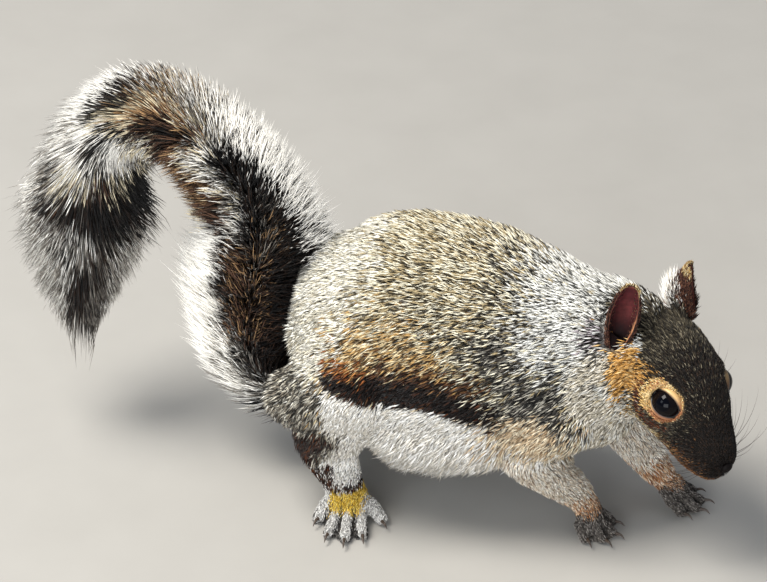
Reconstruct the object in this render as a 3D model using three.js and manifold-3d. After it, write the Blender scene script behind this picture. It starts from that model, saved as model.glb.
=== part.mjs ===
// An eastern grey squirrel, life size, crouched on four feet with its back arched, its head low and
// turned to its right, and its tail raised behind it and curled over at the top. Millimetres.
// +X is the way the trunk points, +Y is the animal's left, +Z is up and the floor is z = 0.
// Every surface here is the outside of the coat. The flesh is made of lofts along the bones, and
// neighbours are parted by thin cuts, so that each named part is a closed solid of its own.

import * as THREE from "three";
import { mergeVertices } from "three/addons/utils/BufferGeometryUtils.js";
import Module from "manifold-3d";

const wasm = await Module();
wasm.setup();

// ---------------------------------------------------------------- driving dimensions

const CUT = 0.3; // width of every cut between two parts
const FAR = 400; // size of the blocks that trim a part to one side of a plane
const RIGHT = -1; // sign of Y on each side of the body
const LEFT = 1;

// Spine, from rump to neck: place of the centre, half width, and reach of the coat above and below.
const SPINE = [
  { part: "rump", at: [-50, 0, 52], wide: 22, high: 24, low: 24 },
  { part: "pelvis", at: [-37, 0, 58], wide: 32, high: 39, low: 38 },
  { part: "loin", at: [-15, 0, 65], wide: 38, high: 49, low: 49 },
  { part: "ribs", at: [14, 0, 67], wide: 39, high: 49, low: 49 },
  { part: "chest", at: [40, 0, 66], wide: 34, high: 43, low: 41 },
  { part: "shoulders", at: [58, 0, 67], wide: 29, high: 38, low: 34 },
  { part: "neck", at: [73, 1, 69], wide: 25, high: 31, low: 26 },
  { part: "nape", at: [86, 0, 68], wide: 19, high: 22, low: 18 },
];
const NECK_CUT = { at: [66, 0, 68], facing: [1, 0, 0] };

// Tail, from root to tip: it leaves the rump low, rises, and hooks over backwards into a drooping
// brush. Its hair spreads widest in the plane of the hook ("wide"), less so across it ("high").
const TAIL = [
  { part: "root", at: [-42, 0, 42], wide: 12, high: 12, low: 12 },
  { part: "base", at: [-60, 0, 37], wide: 17, high: 16, low: 16 },
  { part: "rise", at: [-68, 0, 55], wide: 19, high: 18, low: 18 },
  { part: "lower", at: [-66, 0, 77], wide: 25, high: 18, low: 18 },
  { part: "middle", at: [-63, 0, 98], wide: 25, high: 18.5, low: 18.5 },
  { part: "upper", at: [-68, 0, 118], wide: 23, high: 18.5, low: 18.5 },
  { part: "bend", at: [-78, 0, 132], wide: 21, high: 18, low: 18 },
  { part: "over", at: [-90, 0, 142], wide: 18, high: 18, low: 18 },
  { part: "crest", at: [-105, 0, 145], wide: 17, high: 18, low: 18 },
  { part: "fall", at: [-119, 0, 136], wide: 18, high: 18, low: 18 },
  { part: "side", at: [-126, 0, 119], wide: 20, high: 18, low: 18 },
  { part: "droop", at: [-129, 0, 97], wide: 25, high: 18, low: 18 },
  { part: "brush", at: [-131, 0, 76], wide: 21, high: 16, low: 16 },
  { part: "end", at: [-133, 0, 56], wide: 13, high: 11, low: 11 },
  { part: "tip", at: [-134, 0, 37], wide: 3, high: 3, low: 3 },
];
const TAIL_CUTS = [0.2, 0.4, 0.58, 0.76]; // shares of its length where the tail is parted
const TAIL_SLIT = 58; // side of the square sheet that parts it

// Head, in its own frame: the nose tip is the origin, +X forward along the closed mouth, +Z its crown.
const HEAD_PLACE = {
  nose: [113.2, -27, 50],
  forward: [0.699, -0.567, -0.436],
  crown: [0.406, -0.186, 0.895],
};
const HEAD = [
  { part: "nose", at: [0, 0, -1], wide: 5, high: 5, low: 5.5 },
  { part: "lip", at: [-4, 0, -1.6], wide: 7.8, high: 7.4, low: 8 },
  { part: "whisker pads", at: [-11, 0, -1.5], wide: 11, high: 10.6, low: 11 },
  { part: "bridge", at: [-19, 0, -0.5], wide: 13.5, high: 14, low: 12.6 },
  { part: "eyes", at: [-29, 0, 1.5], wide: 17.5, high: 17.5, low: 15 },
  { part: "cheeks", at: [-39, 0, 2], wide: 20, high: 19.5, low: 17 },
  { part: "ears", at: [-49, 0, 2], wide: 19.5, high: 19, low: 17 },
  { part: "occiput", at: [-59, 0, 1], wide: 16, high: 15, low: 14 },
  { part: "atlas", at: [-67, 0, 0], wide: 9, high: 8, low: 8 },
];
const EYE = { at: [-29.4, 11.8, 8.4], radius: 5.6 };
const NOSE_PAD = { at: [0.4, 0, 0.4], size: [2.4, 3.3, 2.6] };
const EAR = { wide: 7.6, thick: 4, wall: 1.5 };
const EARS = {
  right: { root: [-53.5, -13.5, 9], tip: [-64.5, -14, 34.5], facing: [0.6, -0.75, 0.25] },
  left: { root: [-53.5, 13.5, 9], tip: [-66, 10.5, 34], facing: [0.6, 0.75, 0.25] },
};

// Legs: where the joints of each limb are.
const HIND_LEGS = {
  right: {
    side: RIGHT,
    hip: [-34, -20, 66],
    knee: [-10, -29, 58],
    heel: [-30, -14, 21],
    ball: [-23.5, -27, 5],
    pointing: [0.1, -0.99, 0],
  },
  left: {
    side: LEFT,
    hip: [-34, 20, 66],
    knee: [-3, 28, 56],
    heel: [-36, 25, 12],
    ball: [-6, 29, 4.8],
    pointing: [0.97, 0.22, 0],
  },
};
const FORE_LEGS = {
  right: {
    side: RIGHT,
    shoulder: [59, -19, 66],
    elbow: [37, -24, 44],
    wrist: [59, -10, 15],
    ball: [63.5, -10.5, 4.8],
    pointing: [0.85, -0.52, 0],
  },
  left: {
    side: LEFT,
    shoulder: [62, 18, 66],
    elbow: [56, 25, 38],
    wrist: [84, 14, 11],
    ball: [91, 12.5, 4.8],
    pointing: [0.99, -0.1, 0],
  },
};
// Toes from the inner one outwards: length, and how many degrees each turns out from the foot's line.
const HIND_TOES = {
  fan: [[9, -46], [14, -16], [16, -3], [15, 9], [10, 25]],
  radius: 2.6,
  gap: 3.7,
};
const FORE_TOES = { fan: [[7.5, -22], [10, -7], [10, 7], [7.5, 22]], radius: 2.1, gap: 3.3 };
const HIND_PAD = { height: 3.4, size: [6, 7.5, 4.2] }; // the cushion under the ball of the foot
const FORE_PAD = { height: 3, size: [5, 5.5, 3.7] };
const CLAW = { length: 5.2, radius: 0.95, hook: 1.3 };

// ---------------------------------------------------------------- making solids

const vec = (p) => new THREE.Vector3(...p);

function solidOf(geometry) {
  const bare = geometry.clone();
  bare.deleteAttribute("normal");
  bare.deleteAttribute("uv");
  const merged = mergeVertices(bare, 1e-3);
  return new wasm.Manifold(
    new wasm.Mesh({
      numProp: 3,
      vertProperties: merged.attributes.position.array,
      triVerts: new Uint32Array(merged.index.array),
    }),
  );
}

function meshOf(name, solid, material) {
  const raw = solid.getMesh();
  const geometry = new THREE.BufferGeometry();
  geometry.setAttribute("position", new THREE.BufferAttribute(raw.vertProperties, 3));
  geometry.setIndex(new THREE.BufferAttribute(raw.triVerts, 1));
  geometry.computeVertexNormals();
  const mesh = new THREE.Mesh(geometry, material);
  mesh.name = name;
  return mesh;
}

// A closed skin through elliptical stations. Its ends are rounded over the given lengths, "upright"
// is the direction that each section's "high" side leans to, and "grow" makes it fatter all round.
function loft(stations, { sides, rings, upright = [0, 0, 1], roundStart, roundEnd, grow = 0 }) {
  const centre = new THREE.CatmullRomCurve3(stations.map((s) => vec(s.at)), false, "catmullrom");
  const size = new THREE.CatmullRomCurve3(
    stations.map((s) => new THREE.Vector3(s.wide + grow, s.high + grow, s.low + grow)),
    false,
    "catmullrom",
  );
  const length = centre.getLength();
  const positions = [];
  for (let ring = 0; ring <= rings; ring++) {
    const turn = (Math.PI * ring) / rings;
    const share = THREE.MathUtils.lerp(ring / rings, (1 - Math.cos(turn)) / 2, 0.45);
    const t = centre.getUtoTmapping(share);
    const fromStart = Math.min(1, (share * length) / roundStart);
    const fromEnd = Math.min(1, ((1 - share) * length) / roundEnd);
    const taper = Math.sqrt(1 - (1 - fromStart) ** 2) * Math.sqrt(1 - (1 - fromEnd) ** 2);
    const middle = centre.getPoint(t);
    const along = centre.getTangent(t);
    if (ring === 0) middle.addScaledVector(along, -grow);
    if (ring === rings) middle.addScaledVector(along, grow);
    const across = vec(upright).cross(along).normalize();
    const over = along.clone().cross(across);
    const { x: wide, y: high, z: low } = size.getPoint(t).multiplyScalar(taper);
    const isPole = ring === 0 || ring === rings;
    for (let side = 0; side < (isPole ? 1 : sides); side++) {
      const angle = (2 * Math.PI * side) / sides;
      const lift = Math.sin(angle);
      const point = middle.clone();
      if (!isPole) {
        point.addScaledVector(across, wide * Math.cos(angle));
        point.addScaledVector(over, lift * (lift > 0 ? high : low));
      }
      positions.push(...point);
    }
  }
  const faces = [];
  const start = (ring) => 1 + (ring - 1) * sides;
  const lastPole = start(rings);
  for (let side = 0; side < sides; side++) {
    const next = (side + 1) % sides;
    faces.push(0, start(1) + next, start(1) + side);
    faces.push(lastPole, start(rings - 1) + side, start(rings - 1) + next);
    for (let ring = 1; ring < rings - 1; ring++) {
      const [a, b] = [start(ring) + side, start(ring) + next];
      const [c, d] = [start(ring + 1) + side, start(ring + 1) + next];
      faces.push(a, b, d, a, d, c);
    }
  }
  const geometry = new THREE.BufferGeometry();
  geometry.setAttribute("position", new THREE.Float32BufferAttribute(positions, 3));
  geometry.setIndex(faces);
  return geometry;
}

function ball(at, size, detail = 14) {
  const geometry = new THREE.SphereGeometry(1, detail, Math.round(detail * 0.75));
  geometry.scale(...size);
  geometry.translate(...at);
  return geometry;
}

// Everything on the side of a plane that it faces, as a large block.
function sideOf(at, facing, shift = 0) {
  const block = new THREE.BoxGeometry(FAR, FAR, FAR);
  block.translate(0, 0, FAR / 2 + shift);
  const turn = new THREE.Quaternion().setFromUnitVectors(
    new THREE.Vector3(0, 0, 1),
    vec(facing).normalize(),
  );
  block.applyQuaternion(turn);
  block.translate(...at);
  return solidOf(block);
}

const aboveFloor = sideOf([0, 0, 0], [0, 0, 1]);
const joined = (solids) => solids.reduce((all, one) => all.add(one));
const cutFrom = (solid, others) => others.reduce((rest, other) => rest.subtract(other), solid);

// ---------------------------------------------------------------- materials

const finish = (color, roughness) => new THREE.MeshStandardMaterial({ color, roughness, metalness: 0 });
const greyFur = finish(0x8d8375, 0.9);
const tailFur = finish(0x6f665c, 0.95);
const pawFur = finish(0xb9b3aa, 0.85);
const earSkin = finish(0x7c4a3e, 0.7);
const eyeGloss = finish(0x0d0b0c, 0.08);
const noseSkin = finish(0x2e2422, 0.5);
const clawHorn = finish(0x2b2523, 0.4);

const squirrel = new THREE.Group();
squirrel.name = "grey_squirrel";

// A cut can leave a sliver beside the part that it trims, so only the largest piece is kept.
function add(name, solid, material) {
  const [main] = solid.decompose().sort((a, b) => b.volume() - a.volume());
  squirrel.add(meshOf(name, main, material));
}

// ---------------------------------------------------------------- head

const headTurn = new THREE.Matrix4();
{
  const forward = vec(HEAD_PLACE.forward).normalize();
  const left = vec(HEAD_PLACE.crown).cross(forward).normalize();
  headTurn.makeBasis(forward, left, forward.clone().cross(left));
  headTurn.setPosition(...HEAD_PLACE.nose);
}
const onHead = (geometry) => solidOf(geometry.clone().applyMatrix4(headTurn));

const headLoft = (grow) =>
  onHead(loft(HEAD, { sides: 16, rings: 14, roundStart: 5, roundEnd: 9, grow }));

function eye(side, grow = 0) {
  const reach = EYE.radius + grow;
  const [x, y, z] = EYE.at;
  return onHead(ball([x, y * side, z], [reach, reach, reach], 12));
}

// A cupped leaf, hollow on the side that it faces.
function ear({ root, tip, facing }, grow = 0) {
  const front = vec(facing).normalize();
  const leaf = (shrink, push) => {
    const station = (share, wide, thick, bow) => ({
      at: vec(root).lerp(vec(tip), share).addScaledVector(front, push + bow).toArray(),
      wide: EAR.wide * wide - shrink * wide,
      high: EAR.thick * thick - shrink * 0.5 * thick,
      low: EAR.thick * thick - shrink * 0.5 * thick,
    });
    const stations = [station(-0.1, 0.62, 1, 0), station(0.25, 1, 1, -0.6)];
    stations.push(station(0.6, 0.88, 0.8, 0), station(1.02, 0.32, 0.4, 1.2));
    return onHead(
      loft(stations, { sides: 10, rings: 7, upright: facing, roundStart: 8, roundEnd: 7, grow }),
    );
  };
  return grow ? leaf(0, 0) : leaf(0, 0).subtract(leaf(EAR.wall, EAR.thick * 0.78));
}

const nosePad = (grow) => onHead(ball(NOSE_PAD.at, NOSE_PAD.size.map((r) => r + grow), 8));

const earPockets = Object.values(EARS).map((place) => ear(place, CUT));
const eyePockets = [RIGHT, LEFT].map((side) => eye(side, CUT));
add("head", cutFrom(headLoft(0), [...eyePockets, ...earPockets, nosePad(CUT)]), greyFur);
add("nose", nosePad(0), noseSkin);
add("eye_right", eye(RIGHT), eyeGloss);
add("eye_left", eye(LEFT), eyeGloss);
add("ear_right", ear(EARS.right), earSkin);
add("ear_left", ear(EARS.left), earSkin);

// ---------------------------------------------------------------- limbs

const lerp = (a, b, share) => vec(a).lerp(vec(b), share).toArray();
const round = (at, r) => ({ at, wide: r, high: r, low: r });

function thigh({ side, hip, knee }, grow = 0) {
  const stations = [
    { at: lerp(hip, knee, -0.5), wide: 15, high: 22, low: 24 },
    { at: hip, wide: 20, high: 30, low: 32 },
    { at: lerp(hip, knee, 0.55), wide: 18.5, high: 26, low: 27 },
    { at: knee, wide: 14, high: 17, low: 17 },
    { at: lerp(hip, knee, 1.35), wide: 8, high: 9, low: 10 },
  ];
  const whole = loft(stations, { sides: 12, rings: 7, roundStart: 14, roundEnd: 12, grow });
  return solidOf(whole).intersect(sideOf([0, side * (9 - grow), 0], [0, side, 0]));
}

function shank({ hip, knee, heel }, grow = 0) {
  const top = lerp(hip, knee, 0.45);
  const stations = [
    round(lerp(top, heel, -0.02), 13),
    round(lerp(top, heel, 0.25), 15.5),
    round(lerp(top, heel, 0.58), 13),
    round(lerp(top, heel, 0.85), 9.5),
    round(lerp(top, heel, 1.06), 7),
  ];
  return solidOf(
    loft(stations, { sides: 10, rings: 8, upright: [1, 0, 0], roundStart: 10, roundEnd: 6, grow }),
  );
}

function upperArm({ side, shoulder, elbow }, grow = 0) {
  const stations = [
    { at: lerp(shoulder, elbow, -0.15), wide: 12, high: 14, low: 14 },
    { at: lerp(shoulder, elbow, 0.35), wide: 13, high: 16, low: 15 },
    { at: lerp(shoulder, elbow, 0.8), wide: 10.5, high: 12, low: 11 },
    { at: lerp(shoulder, elbow, 1.15), wide: 8, high: 9, low: 9 },
  ];
  const options = { sides: 12, rings: 8, upright: [1, 0, 0], roundStart: 12, roundEnd: 9, grow };
  return solidOf(loft(stations, options)).intersect(
    sideOf([0, side * (8 - grow), 0], [0, side, 0]),
  );
}

function forearm({ elbow, wrist }, grow = 0) {
  const stations = [
    round(lerp(elbow, wrist, -0.15), 9),
    round(lerp(elbow, wrist, 0.2), 10.5),
    round(lerp(elbow, wrist, 0.65), 8.4),
    round(lerp(elbow, wrist, 1.0), 6),
    round(lerp(elbow, wrist, 1.12), 5.4),
  ];
  return solidOf(
    loft(stations, { sides: 9, rings: 6, upright: [1, 0, 0], roundStart: 8, roundEnd: 5, grow }),
  );
}

// Toes fan out from the ball of the foot. Each one arches over its knuckle and ends in a claw.
function toesOf({ side, ball, pointing }, { fan, radius, gap }) {
  const ahead = vec(pointing).normalize();
  const outward = new THREE.Vector3(0, 0, 1).cross(ahead).multiplyScalar(side);
  return fan.map(([length, turn], i) => {
    const place = i - (fan.length - 1) / 2;
    const angle = THREE.MathUtils.degToRad(turn);
    const way = ahead.clone().multiplyScalar(Math.cos(angle));
    way.addScaledVector(outward, Math.sin(angle));
    const base = vec(ball).addScaledVector(outward, place * gap);
    base.addScaledVector(ahead, -0.9 * place * place);
    const rest = radius * 0.86; // height of the toe's axis where its pad lies on the floor
    const point = (reach, height) => base.clone().addScaledVector(way, reach).setZ(height).toArray();
    const toe = loft(
      [
        round(point(-length * 0.35, ball[2]), radius),
        round(point(length * 0.15, ball[2] + 0.3), radius * 1.05),
        round(point(length * 0.62, rest + 1.2), radius * 0.95),
        round(point(length, rest), radius),
      ],
      { sides: 6, rings: 5, roundStart: 2, roundEnd: 2.6 },
    );
    const clawOf = (grow) => {
      const nail = (share, drop, size) => ({
        at: point(length + CLAW.length * share, rest + 1 - drop),
        wide: CLAW.radius * size * 0.7,
        high: CLAW.radius * size,
        low: CLAW.radius * size,
      });
      const stations = [nail(0.1, 0, 1), nail(0.5, 0.2, 0.85), nail(0.8, 0.7, 0.55)];
      stations.push(nail(1.05, CLAW.hook, 0.3));
      return solidOf(loft(stations, { sides: 5, rings: 3, roundStart: 1.2, roundEnd: 0.6, grow }));
    };
    return { toe: solidOf(toe), claw: clawOf(0), socket: clawOf(CUT) };
  });
}

function addFoot(name, clawName, leg, sole, pad, toes, above) {
  const cushion = solidOf(ball([leg.ball[0], leg.ball[1], pad.height], pad.size, 7));
  const flesh = joined([sole, cushion, ...toes.map((t) => t.toe)]).intersect(aboveFloor);
  add(name, cutFrom(flesh, [above, ...toes.map((t) => t.socket)]), pawFur);
  toes.forEach(({ claw }, i) => add(clawName + "_" + (i + 1), claw, clawHorn));
}

const limbPockets = [];
for (const [name, leg] of Object.entries(HIND_LEGS)) {
  const pockets = [thigh(leg, CUT), shank(leg, CUT)];
  limbPockets.push(...pockets);
  add("thigh_" + name, thigh(leg), greyFur);
  add("shank_" + name, cutFrom(shank(leg), [pockets[0]]), greyFur);
  const sole = solidOf(
    loft(
      [
        round(lerp(leg.ball, leg.heel, 1.12), 5.2),
        round(lerp(leg.ball, leg.heel, 0.8), 6),
        { at: lerp(leg.ball, leg.heel, 0.35), wide: 7, high: 5.5, low: 5 },
        { at: leg.ball, wide: 9.4, high: 4.6, low: 5.4 },
        { at: lerp(leg.ball, leg.heel, -0.2), wide: 8.5, high: 3.6, low: 4.6 },
      ],
      { sides: 9, rings: 6, roundStart: 5, roundEnd: 5 },
    ),
  );
  const toes = toesOf(leg, HIND_TOES);
  addFoot("hindfoot_" + name, "hindclaw_" + name, leg, sole, HIND_PAD, toes, pockets[1]);
}
for (const [name, leg] of Object.entries(FORE_LEGS)) {
  const pockets = [upperArm(leg, CUT), forearm(leg, CUT)];
  limbPockets.push(...pockets);
  add("upperarm_" + name, upperArm(leg), greyFur);
  add("forearm_" + name, cutFrom(forearm(leg), [pockets[0]]), greyFur);
  const palm = solidOf(
    loft(
      [
        round(lerp(leg.ball, leg.wrist, 1.1), 4.6),
        { at: lerp(leg.ball, leg.wrist, 0.4), wide: 6, high: 4.8, low: 4.6 },
        { at: leg.ball, wide: 7, high: 4.2, low: 5.3 },
        { at: lerp(leg.ball, leg.wrist, -0.45), wide: 6, high: 3, low: 4.2 },
      ],
      { sides: 8, rings: 6, roundStart: 4, roundEnd: 4 },
    ),
  );
  const toes = toesOf(leg, FORE_TOES);
  addFoot("forefoot_" + name, "foreclaw_" + name, leg, palm, FORE_PAD, toes, pockets[1]);
}

// ---------------------------------------------------------------- trunk and neck

const spineOptions = { sides: 19, rings: 13, roundStart: 17, roundEnd: 8 };
const spine = solidOf(loft(SPINE, spineOptions));
const spinePocket = solidOf(loft(SPINE, { ...spineOptions, grow: CUT }));
const headPocket = headLoft(CUT);
const fleshSpine = cutFrom(spine, [...limbPockets, headPocket, ...earPockets]);
const aheadOfCut = sideOf(NECK_CUT.at, NECK_CUT.facing, CUT / 2);
const behindCut = sideOf(NECK_CUT.at, NECK_CUT.facing.map((x) => -x), CUT / 2);
add("neck", fleshSpine.intersect(aheadOfCut), greyFur);
add("trunk", fleshSpine.intersect(behindCut), greyFur);

// ---------------------------------------------------------------- tail

const tailLine = new THREE.CatmullRomCurve3(TAIL.map((s) => vec(s.at)), false, "catmullrom");
const tailOptions = { sides: 13, rings: 22, upright: [0, 1, 0], roundStart: 8, roundEnd: 20 };
const tailSlits = TAIL_CUTS.map((share) => {
  const slit = new THREE.BoxGeometry(TAIL_SLIT, TAIL_SLIT, CUT);
  const along = tailLine.getTangentAt(share);
  slit.applyQuaternion(new THREE.Quaternion().setFromUnitVectors(new THREE.Vector3(0, 0, 1), along));
  slit.translate(...tailLine.getPointAt(share));
  return solidOf(slit);
});
const tail = cutFrom(solidOf(loft(TAIL, tailOptions)), [spinePocket, ...limbPockets, ...tailSlits]);
const shareOf = (piece) => {
  const { min, max } = piece.boundingBox();
  const middle = vec(min).add(vec(max)).divideScalar(2);
  const near = [...Array(101).keys()].map((i) => tailLine.getPointAt(i / 100).distanceTo(middle));
  return near.indexOf(Math.min(...near));
};
const tailPieces = tail.decompose().sort((a, b) => shareOf(a) - shareOf(b));
tailPieces.forEach((piece, i) => add("tail_" + (i + 1), piece, tailFur));

// The model stands on the middle of the floor under its own box.
const box = new THREE.Box3().setFromObject(squirrel);
const middle = box.getCenter(new THREE.Vector3());
squirrel.position.set(-middle.x, -middle.y, -box.min.z);

export default squirrel;
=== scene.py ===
import math
import bpy
import bmesh
import numpy as np
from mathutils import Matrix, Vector
from mathutils.bvhtree import BVHTree


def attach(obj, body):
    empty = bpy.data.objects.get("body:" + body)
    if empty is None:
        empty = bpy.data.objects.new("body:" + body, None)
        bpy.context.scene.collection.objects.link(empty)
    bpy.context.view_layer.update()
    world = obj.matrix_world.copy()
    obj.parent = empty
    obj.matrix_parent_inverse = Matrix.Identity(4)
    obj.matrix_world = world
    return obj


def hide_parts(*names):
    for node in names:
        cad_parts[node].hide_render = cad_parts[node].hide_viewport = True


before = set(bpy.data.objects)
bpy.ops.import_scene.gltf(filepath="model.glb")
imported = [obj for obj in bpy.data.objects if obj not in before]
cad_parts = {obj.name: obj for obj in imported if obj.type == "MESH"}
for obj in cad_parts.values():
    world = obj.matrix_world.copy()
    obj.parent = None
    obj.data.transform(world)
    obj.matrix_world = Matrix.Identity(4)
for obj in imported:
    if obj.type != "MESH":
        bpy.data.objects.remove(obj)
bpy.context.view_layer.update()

# ---------------------------------------------------------------------------
# The view. A long lens stands about a metre off, to the squirrel's right and
# a little ahead of its middle, and looks down on the back at 35 degrees.
# ---------------------------------------------------------------------------
AZIMUTH, ELEVATION = math.radians(15), math.radians(35)
DISTANCE = 1.1                                   # metres from the aim to the lens
FILM_WIDTH, FOCAL_LENGTH = 36, 139.5             # millimetres
AIM = Vector((-0.0084, 0.0370, 0.0588))

back = Vector((math.sin(AZIMUTH) * math.cos(ELEVATION),
               -math.cos(AZIMUTH) * math.cos(ELEVATION), math.sin(ELEVATION)))
camera_data = bpy.data.cameras.new("view")
camera_data.sensor_width = FILM_WIDTH
camera_data.lens = FOCAL_LENGTH
camera_data.dof.use_dof = False
camera = bpy.data.objects.new("view", camera_data)
bpy.context.scene.collection.objects.link(camera)
camera.location = AIM + back * DISTANCE
camera.rotation_euler = back.to_track_quat("Z", "Y").to_euler()
bpy.context.scene.camera = camera

# ---------------------------------------------------------------------------
# The skin. One hide over trunk, neck, head, limbs and the thin core of the
# tail. The solids are fused, smoothed where the real body is smooth, and
# drawn in by the depth of the coat, so that the fur reaches their outline.
# ---------------------------------------------------------------------------
SHIFT = np.array([18.896, 1.659, 0.0])           # body frame to model frame, mm


def metres(points):
    """Millimetres forward, left and up in the body frame to model metres."""
    return (np.asarray(points, float) + SHIFT) / 1000


def unit(vectors):
    vectors = np.asarray(vectors, float)
    return vectors / np.maximum(np.linalg.norm(vectors, axis=-1, keepdims=True), 1e-12)


def step(value, low, high):
    """Smooth 0 to 1 as value goes from low to high."""
    t = np.clip((np.asarray(value, float) - low) / (high - low), 0, 1)
    return t * t * (3 - 2 * t)


def mesh_piece(name, verts_mm, faces, smooth=True):
    """A finished mesh object from body-frame millimetres and a face list."""
    mesh = bpy.data.meshes.new(name)
    mesh.from_pydata([tuple(p) for p in metres(verts_mm)], [],
                     [tuple(int(i) for i in f) for f in faces])
    mesh.validate()
    if smooth:
        mesh.polygons.foreach_set("use_smooth", np.ones(len(mesh.polygons), bool))
    piece = bpy.data.objects.new(name, mesh)
    bpy.context.scene.collection.objects.link(piece)
    return piece


SIDES = ("right", "left")
LIMB_PARTS = ("thigh", "shank", "hindfoot", "upperarm", "forearm", "forefoot")
FLESH = ["trunk", "neck", "head"] + [f"{part}_{side}" for part in LIMB_PARTS for side in SIDES]
TAIL_NODES = [f"tail_{i}" for i in range(1, 6)]
SIDEWAYS = np.array([0.0, 1.0, 0.0])             # the tail lies in the body's middle plane

# the tail's axis from root to tip, and half its width and depth with the hair
TAIL = np.array([[-42, 0, 42], [-60, 0, 37], [-68, 0, 55], [-66, 0, 77], [-63, 0, 98], [-68, 0, 118],
                 [-78, 0, 132], [-90, 0, 142], [-105, 0, 145], [-119, 0, 136], [-126, 0, 119],
                 [-129, 0, 97], [-131, 0, 76], [-133, 0, 56], [-134, 0, 37]], float)
TAIL_WIDE = np.array([12, 17, 19, 25, 25, 23, 21, 18, 17, 18, 20, 25, 21, 13, 3], float)
TAIL_DEEP = np.array([12, 16, 18, 18, 18.5, 18.5, 18, 18, 18, 18, 18, 18, 16, 11, 3], float)


def through(points, t):
    """Catmull-Rom curve through points at t from 0 to 1, with its tangent."""
    p = np.vstack([2 * points[0] - points[1], points, 2 * points[-1] - points[-2]])
    f = np.clip(np.asarray(t, float), 0, 1) * (len(points) - 1)
    i = np.minimum(f.astype(int), len(points) - 2)
    u = (f - i)[:, None]
    a, b, c, d = p[i], p[i + 1], p[i + 2], p[i + 3]
    at = 0.5 * (2 * b + (c - a) * u + (2 * a - 5 * b + 4 * c - d) * u ** 2
                + (3 * b - a - 3 * c + d) * u ** 3)
    slope = 0.5 * ((c - a) + 2 * (2 * a - 5 * b + 4 * c - d) * u + 3 * (3 * b - a - 3 * c + d) * u ** 2)
    return at, unit(slope)


knots = np.linspace(0, 1, 801)
curve, _ = through(TAIL, knots)
run = np.concatenate([[0], np.cumsum(np.linalg.norm(np.diff(curve, axis=0), axis=1))])
TAIL_LENGTH = run[-1]


def on_tail(s):
    """Axis point, tangent, in-plane normal, half width and half depth at share s of the length."""
    t = np.interp(np.asarray(s) * TAIL_LENGTH, run, knots)
    at, along = through(TAIL, t)
    out = np.cross(SIDEWAYS, along)
    f, stations = t * (len(TAIL) - 1), range(len(TAIL))
    return at, along, unit(out), np.interp(f, stations, TAIL_WIDE), np.interp(f, stations, TAIL_DEEP)


def core_radius(s):
    """Half the thickness of the tail's flesh, which the hair grows from."""
    return np.interp(s, [0, 0.12, 0.5, 0.8, 0.9], [7.5, 5.5, 4.2, 2.8, 1.2])


# the head's own frame: forward to the nose, left, and up to the crown
NOSE = np.array([113.2, -27, 50.0])
FORWARD = unit([0.699, -0.567, -0.436])
LEFT = unit(np.cross([0.406, -0.186, 0.895], FORWARD))
UP = np.cross(FORWARD, LEFT)
HEAD_AXES = np.array([FORWARD, LEFT, UP])
EYE, EYE_RADIUS = np.array([-29.4, 11.8, 8.4]), 5.6
EYE_WAY = [0.20, 0.86, 0.47]                     # where the left eye looks


def in_head(points):
    return (points - NOSE) @ HEAD_AXES.T


def from_head(points):
    return np.asarray(points, float) @ HEAD_AXES + NOSE


def mirrored(points):
    """Head-frame points with the right half folded onto the left."""
    return points * [1, 0, 1] + np.abs(points) * [0, 1, 0]


SWELL, STUB_SWELL = 0.0004, 0.0006               # metres a solid grows so that neighbours fuse
VOXEL = 0.00094                                  # metres between the skin's vertices
CORE_END = 0.885                                 # where the tail's flesh ends, of its length
RINGS, SPOKES = 150, 14
EAR_SEAT = np.array([-55.0, 16.0, 13.5])         # the foot of the left ear, in the head's frame
soup = bmesh.new()                               # every solid that the skin is fused from


def solid(name):
    """A CAD node's surface with its loose triangles joined."""
    shell = bmesh.new()
    shell.from_mesh(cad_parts[name].data)
    bmesh.ops.remove_doubles(shell, verts=shell.verts, dist=1e-6)
    return shell


def pour(shell, swell):
    """Grows a solid by swell and adds it to the soup."""
    for v in shell.verts:
        v.co += v.normal * swell
    loose = bpy.data.meshes.new("loose")
    shell.to_mesh(loose)
    soup.from_mesh(loose)
    bpy.data.meshes.remove(loose)


NAMES = FLESH + TAIL_NODES
node_tris, node_verts, tri_owner = [], [], []
for index, name in enumerate(NAMES):
    shell = solid(name)
    bmesh.ops.triangulate(shell, faces=shell.faces)
    shell.normal_update()
    base = len(node_verts)
    node_verts += [v.co.copy() for v in shell.verts]
    node_tris += [tuple(base + v.index for v in f.verts) for f in shell.faces]
    tri_owner += [index] * len(shell.faces)
    if name in FLESH:
        pour(shell, SWELL)
    shell.free()

# the tail's core is a closed tube along its axis
s = np.linspace(0.0, CORE_END, RINGS)
at, along, out, _, _ = on_tail(s)
turn = np.linspace(0, 2 * np.pi, SPOKES, endpoint=False)
spoke = out[:, None] * np.cos(turn)[None, :, None] + SIDEWAYS * np.sin(turn)[None, :, None]
tube = metres(at[:, None] + spoke * core_radius(s)[:, None, None])
grid = [[soup.verts.new(p) for p in row] for row in tube]
for a, b in zip(grid, grid[1:]):
    for i in range(SPOKES):
        j = (i + 1) % SPOKES
        soup.faces.new((a[i], a[j], b[j], b[i]))
soup.faces.new(grid[0][::-1])
soup.faces.new(grid[-1])
bmesh.ops.recalc_face_normals(soup, faces=soup.faces[-(RINGS * SPOKES):])

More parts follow.
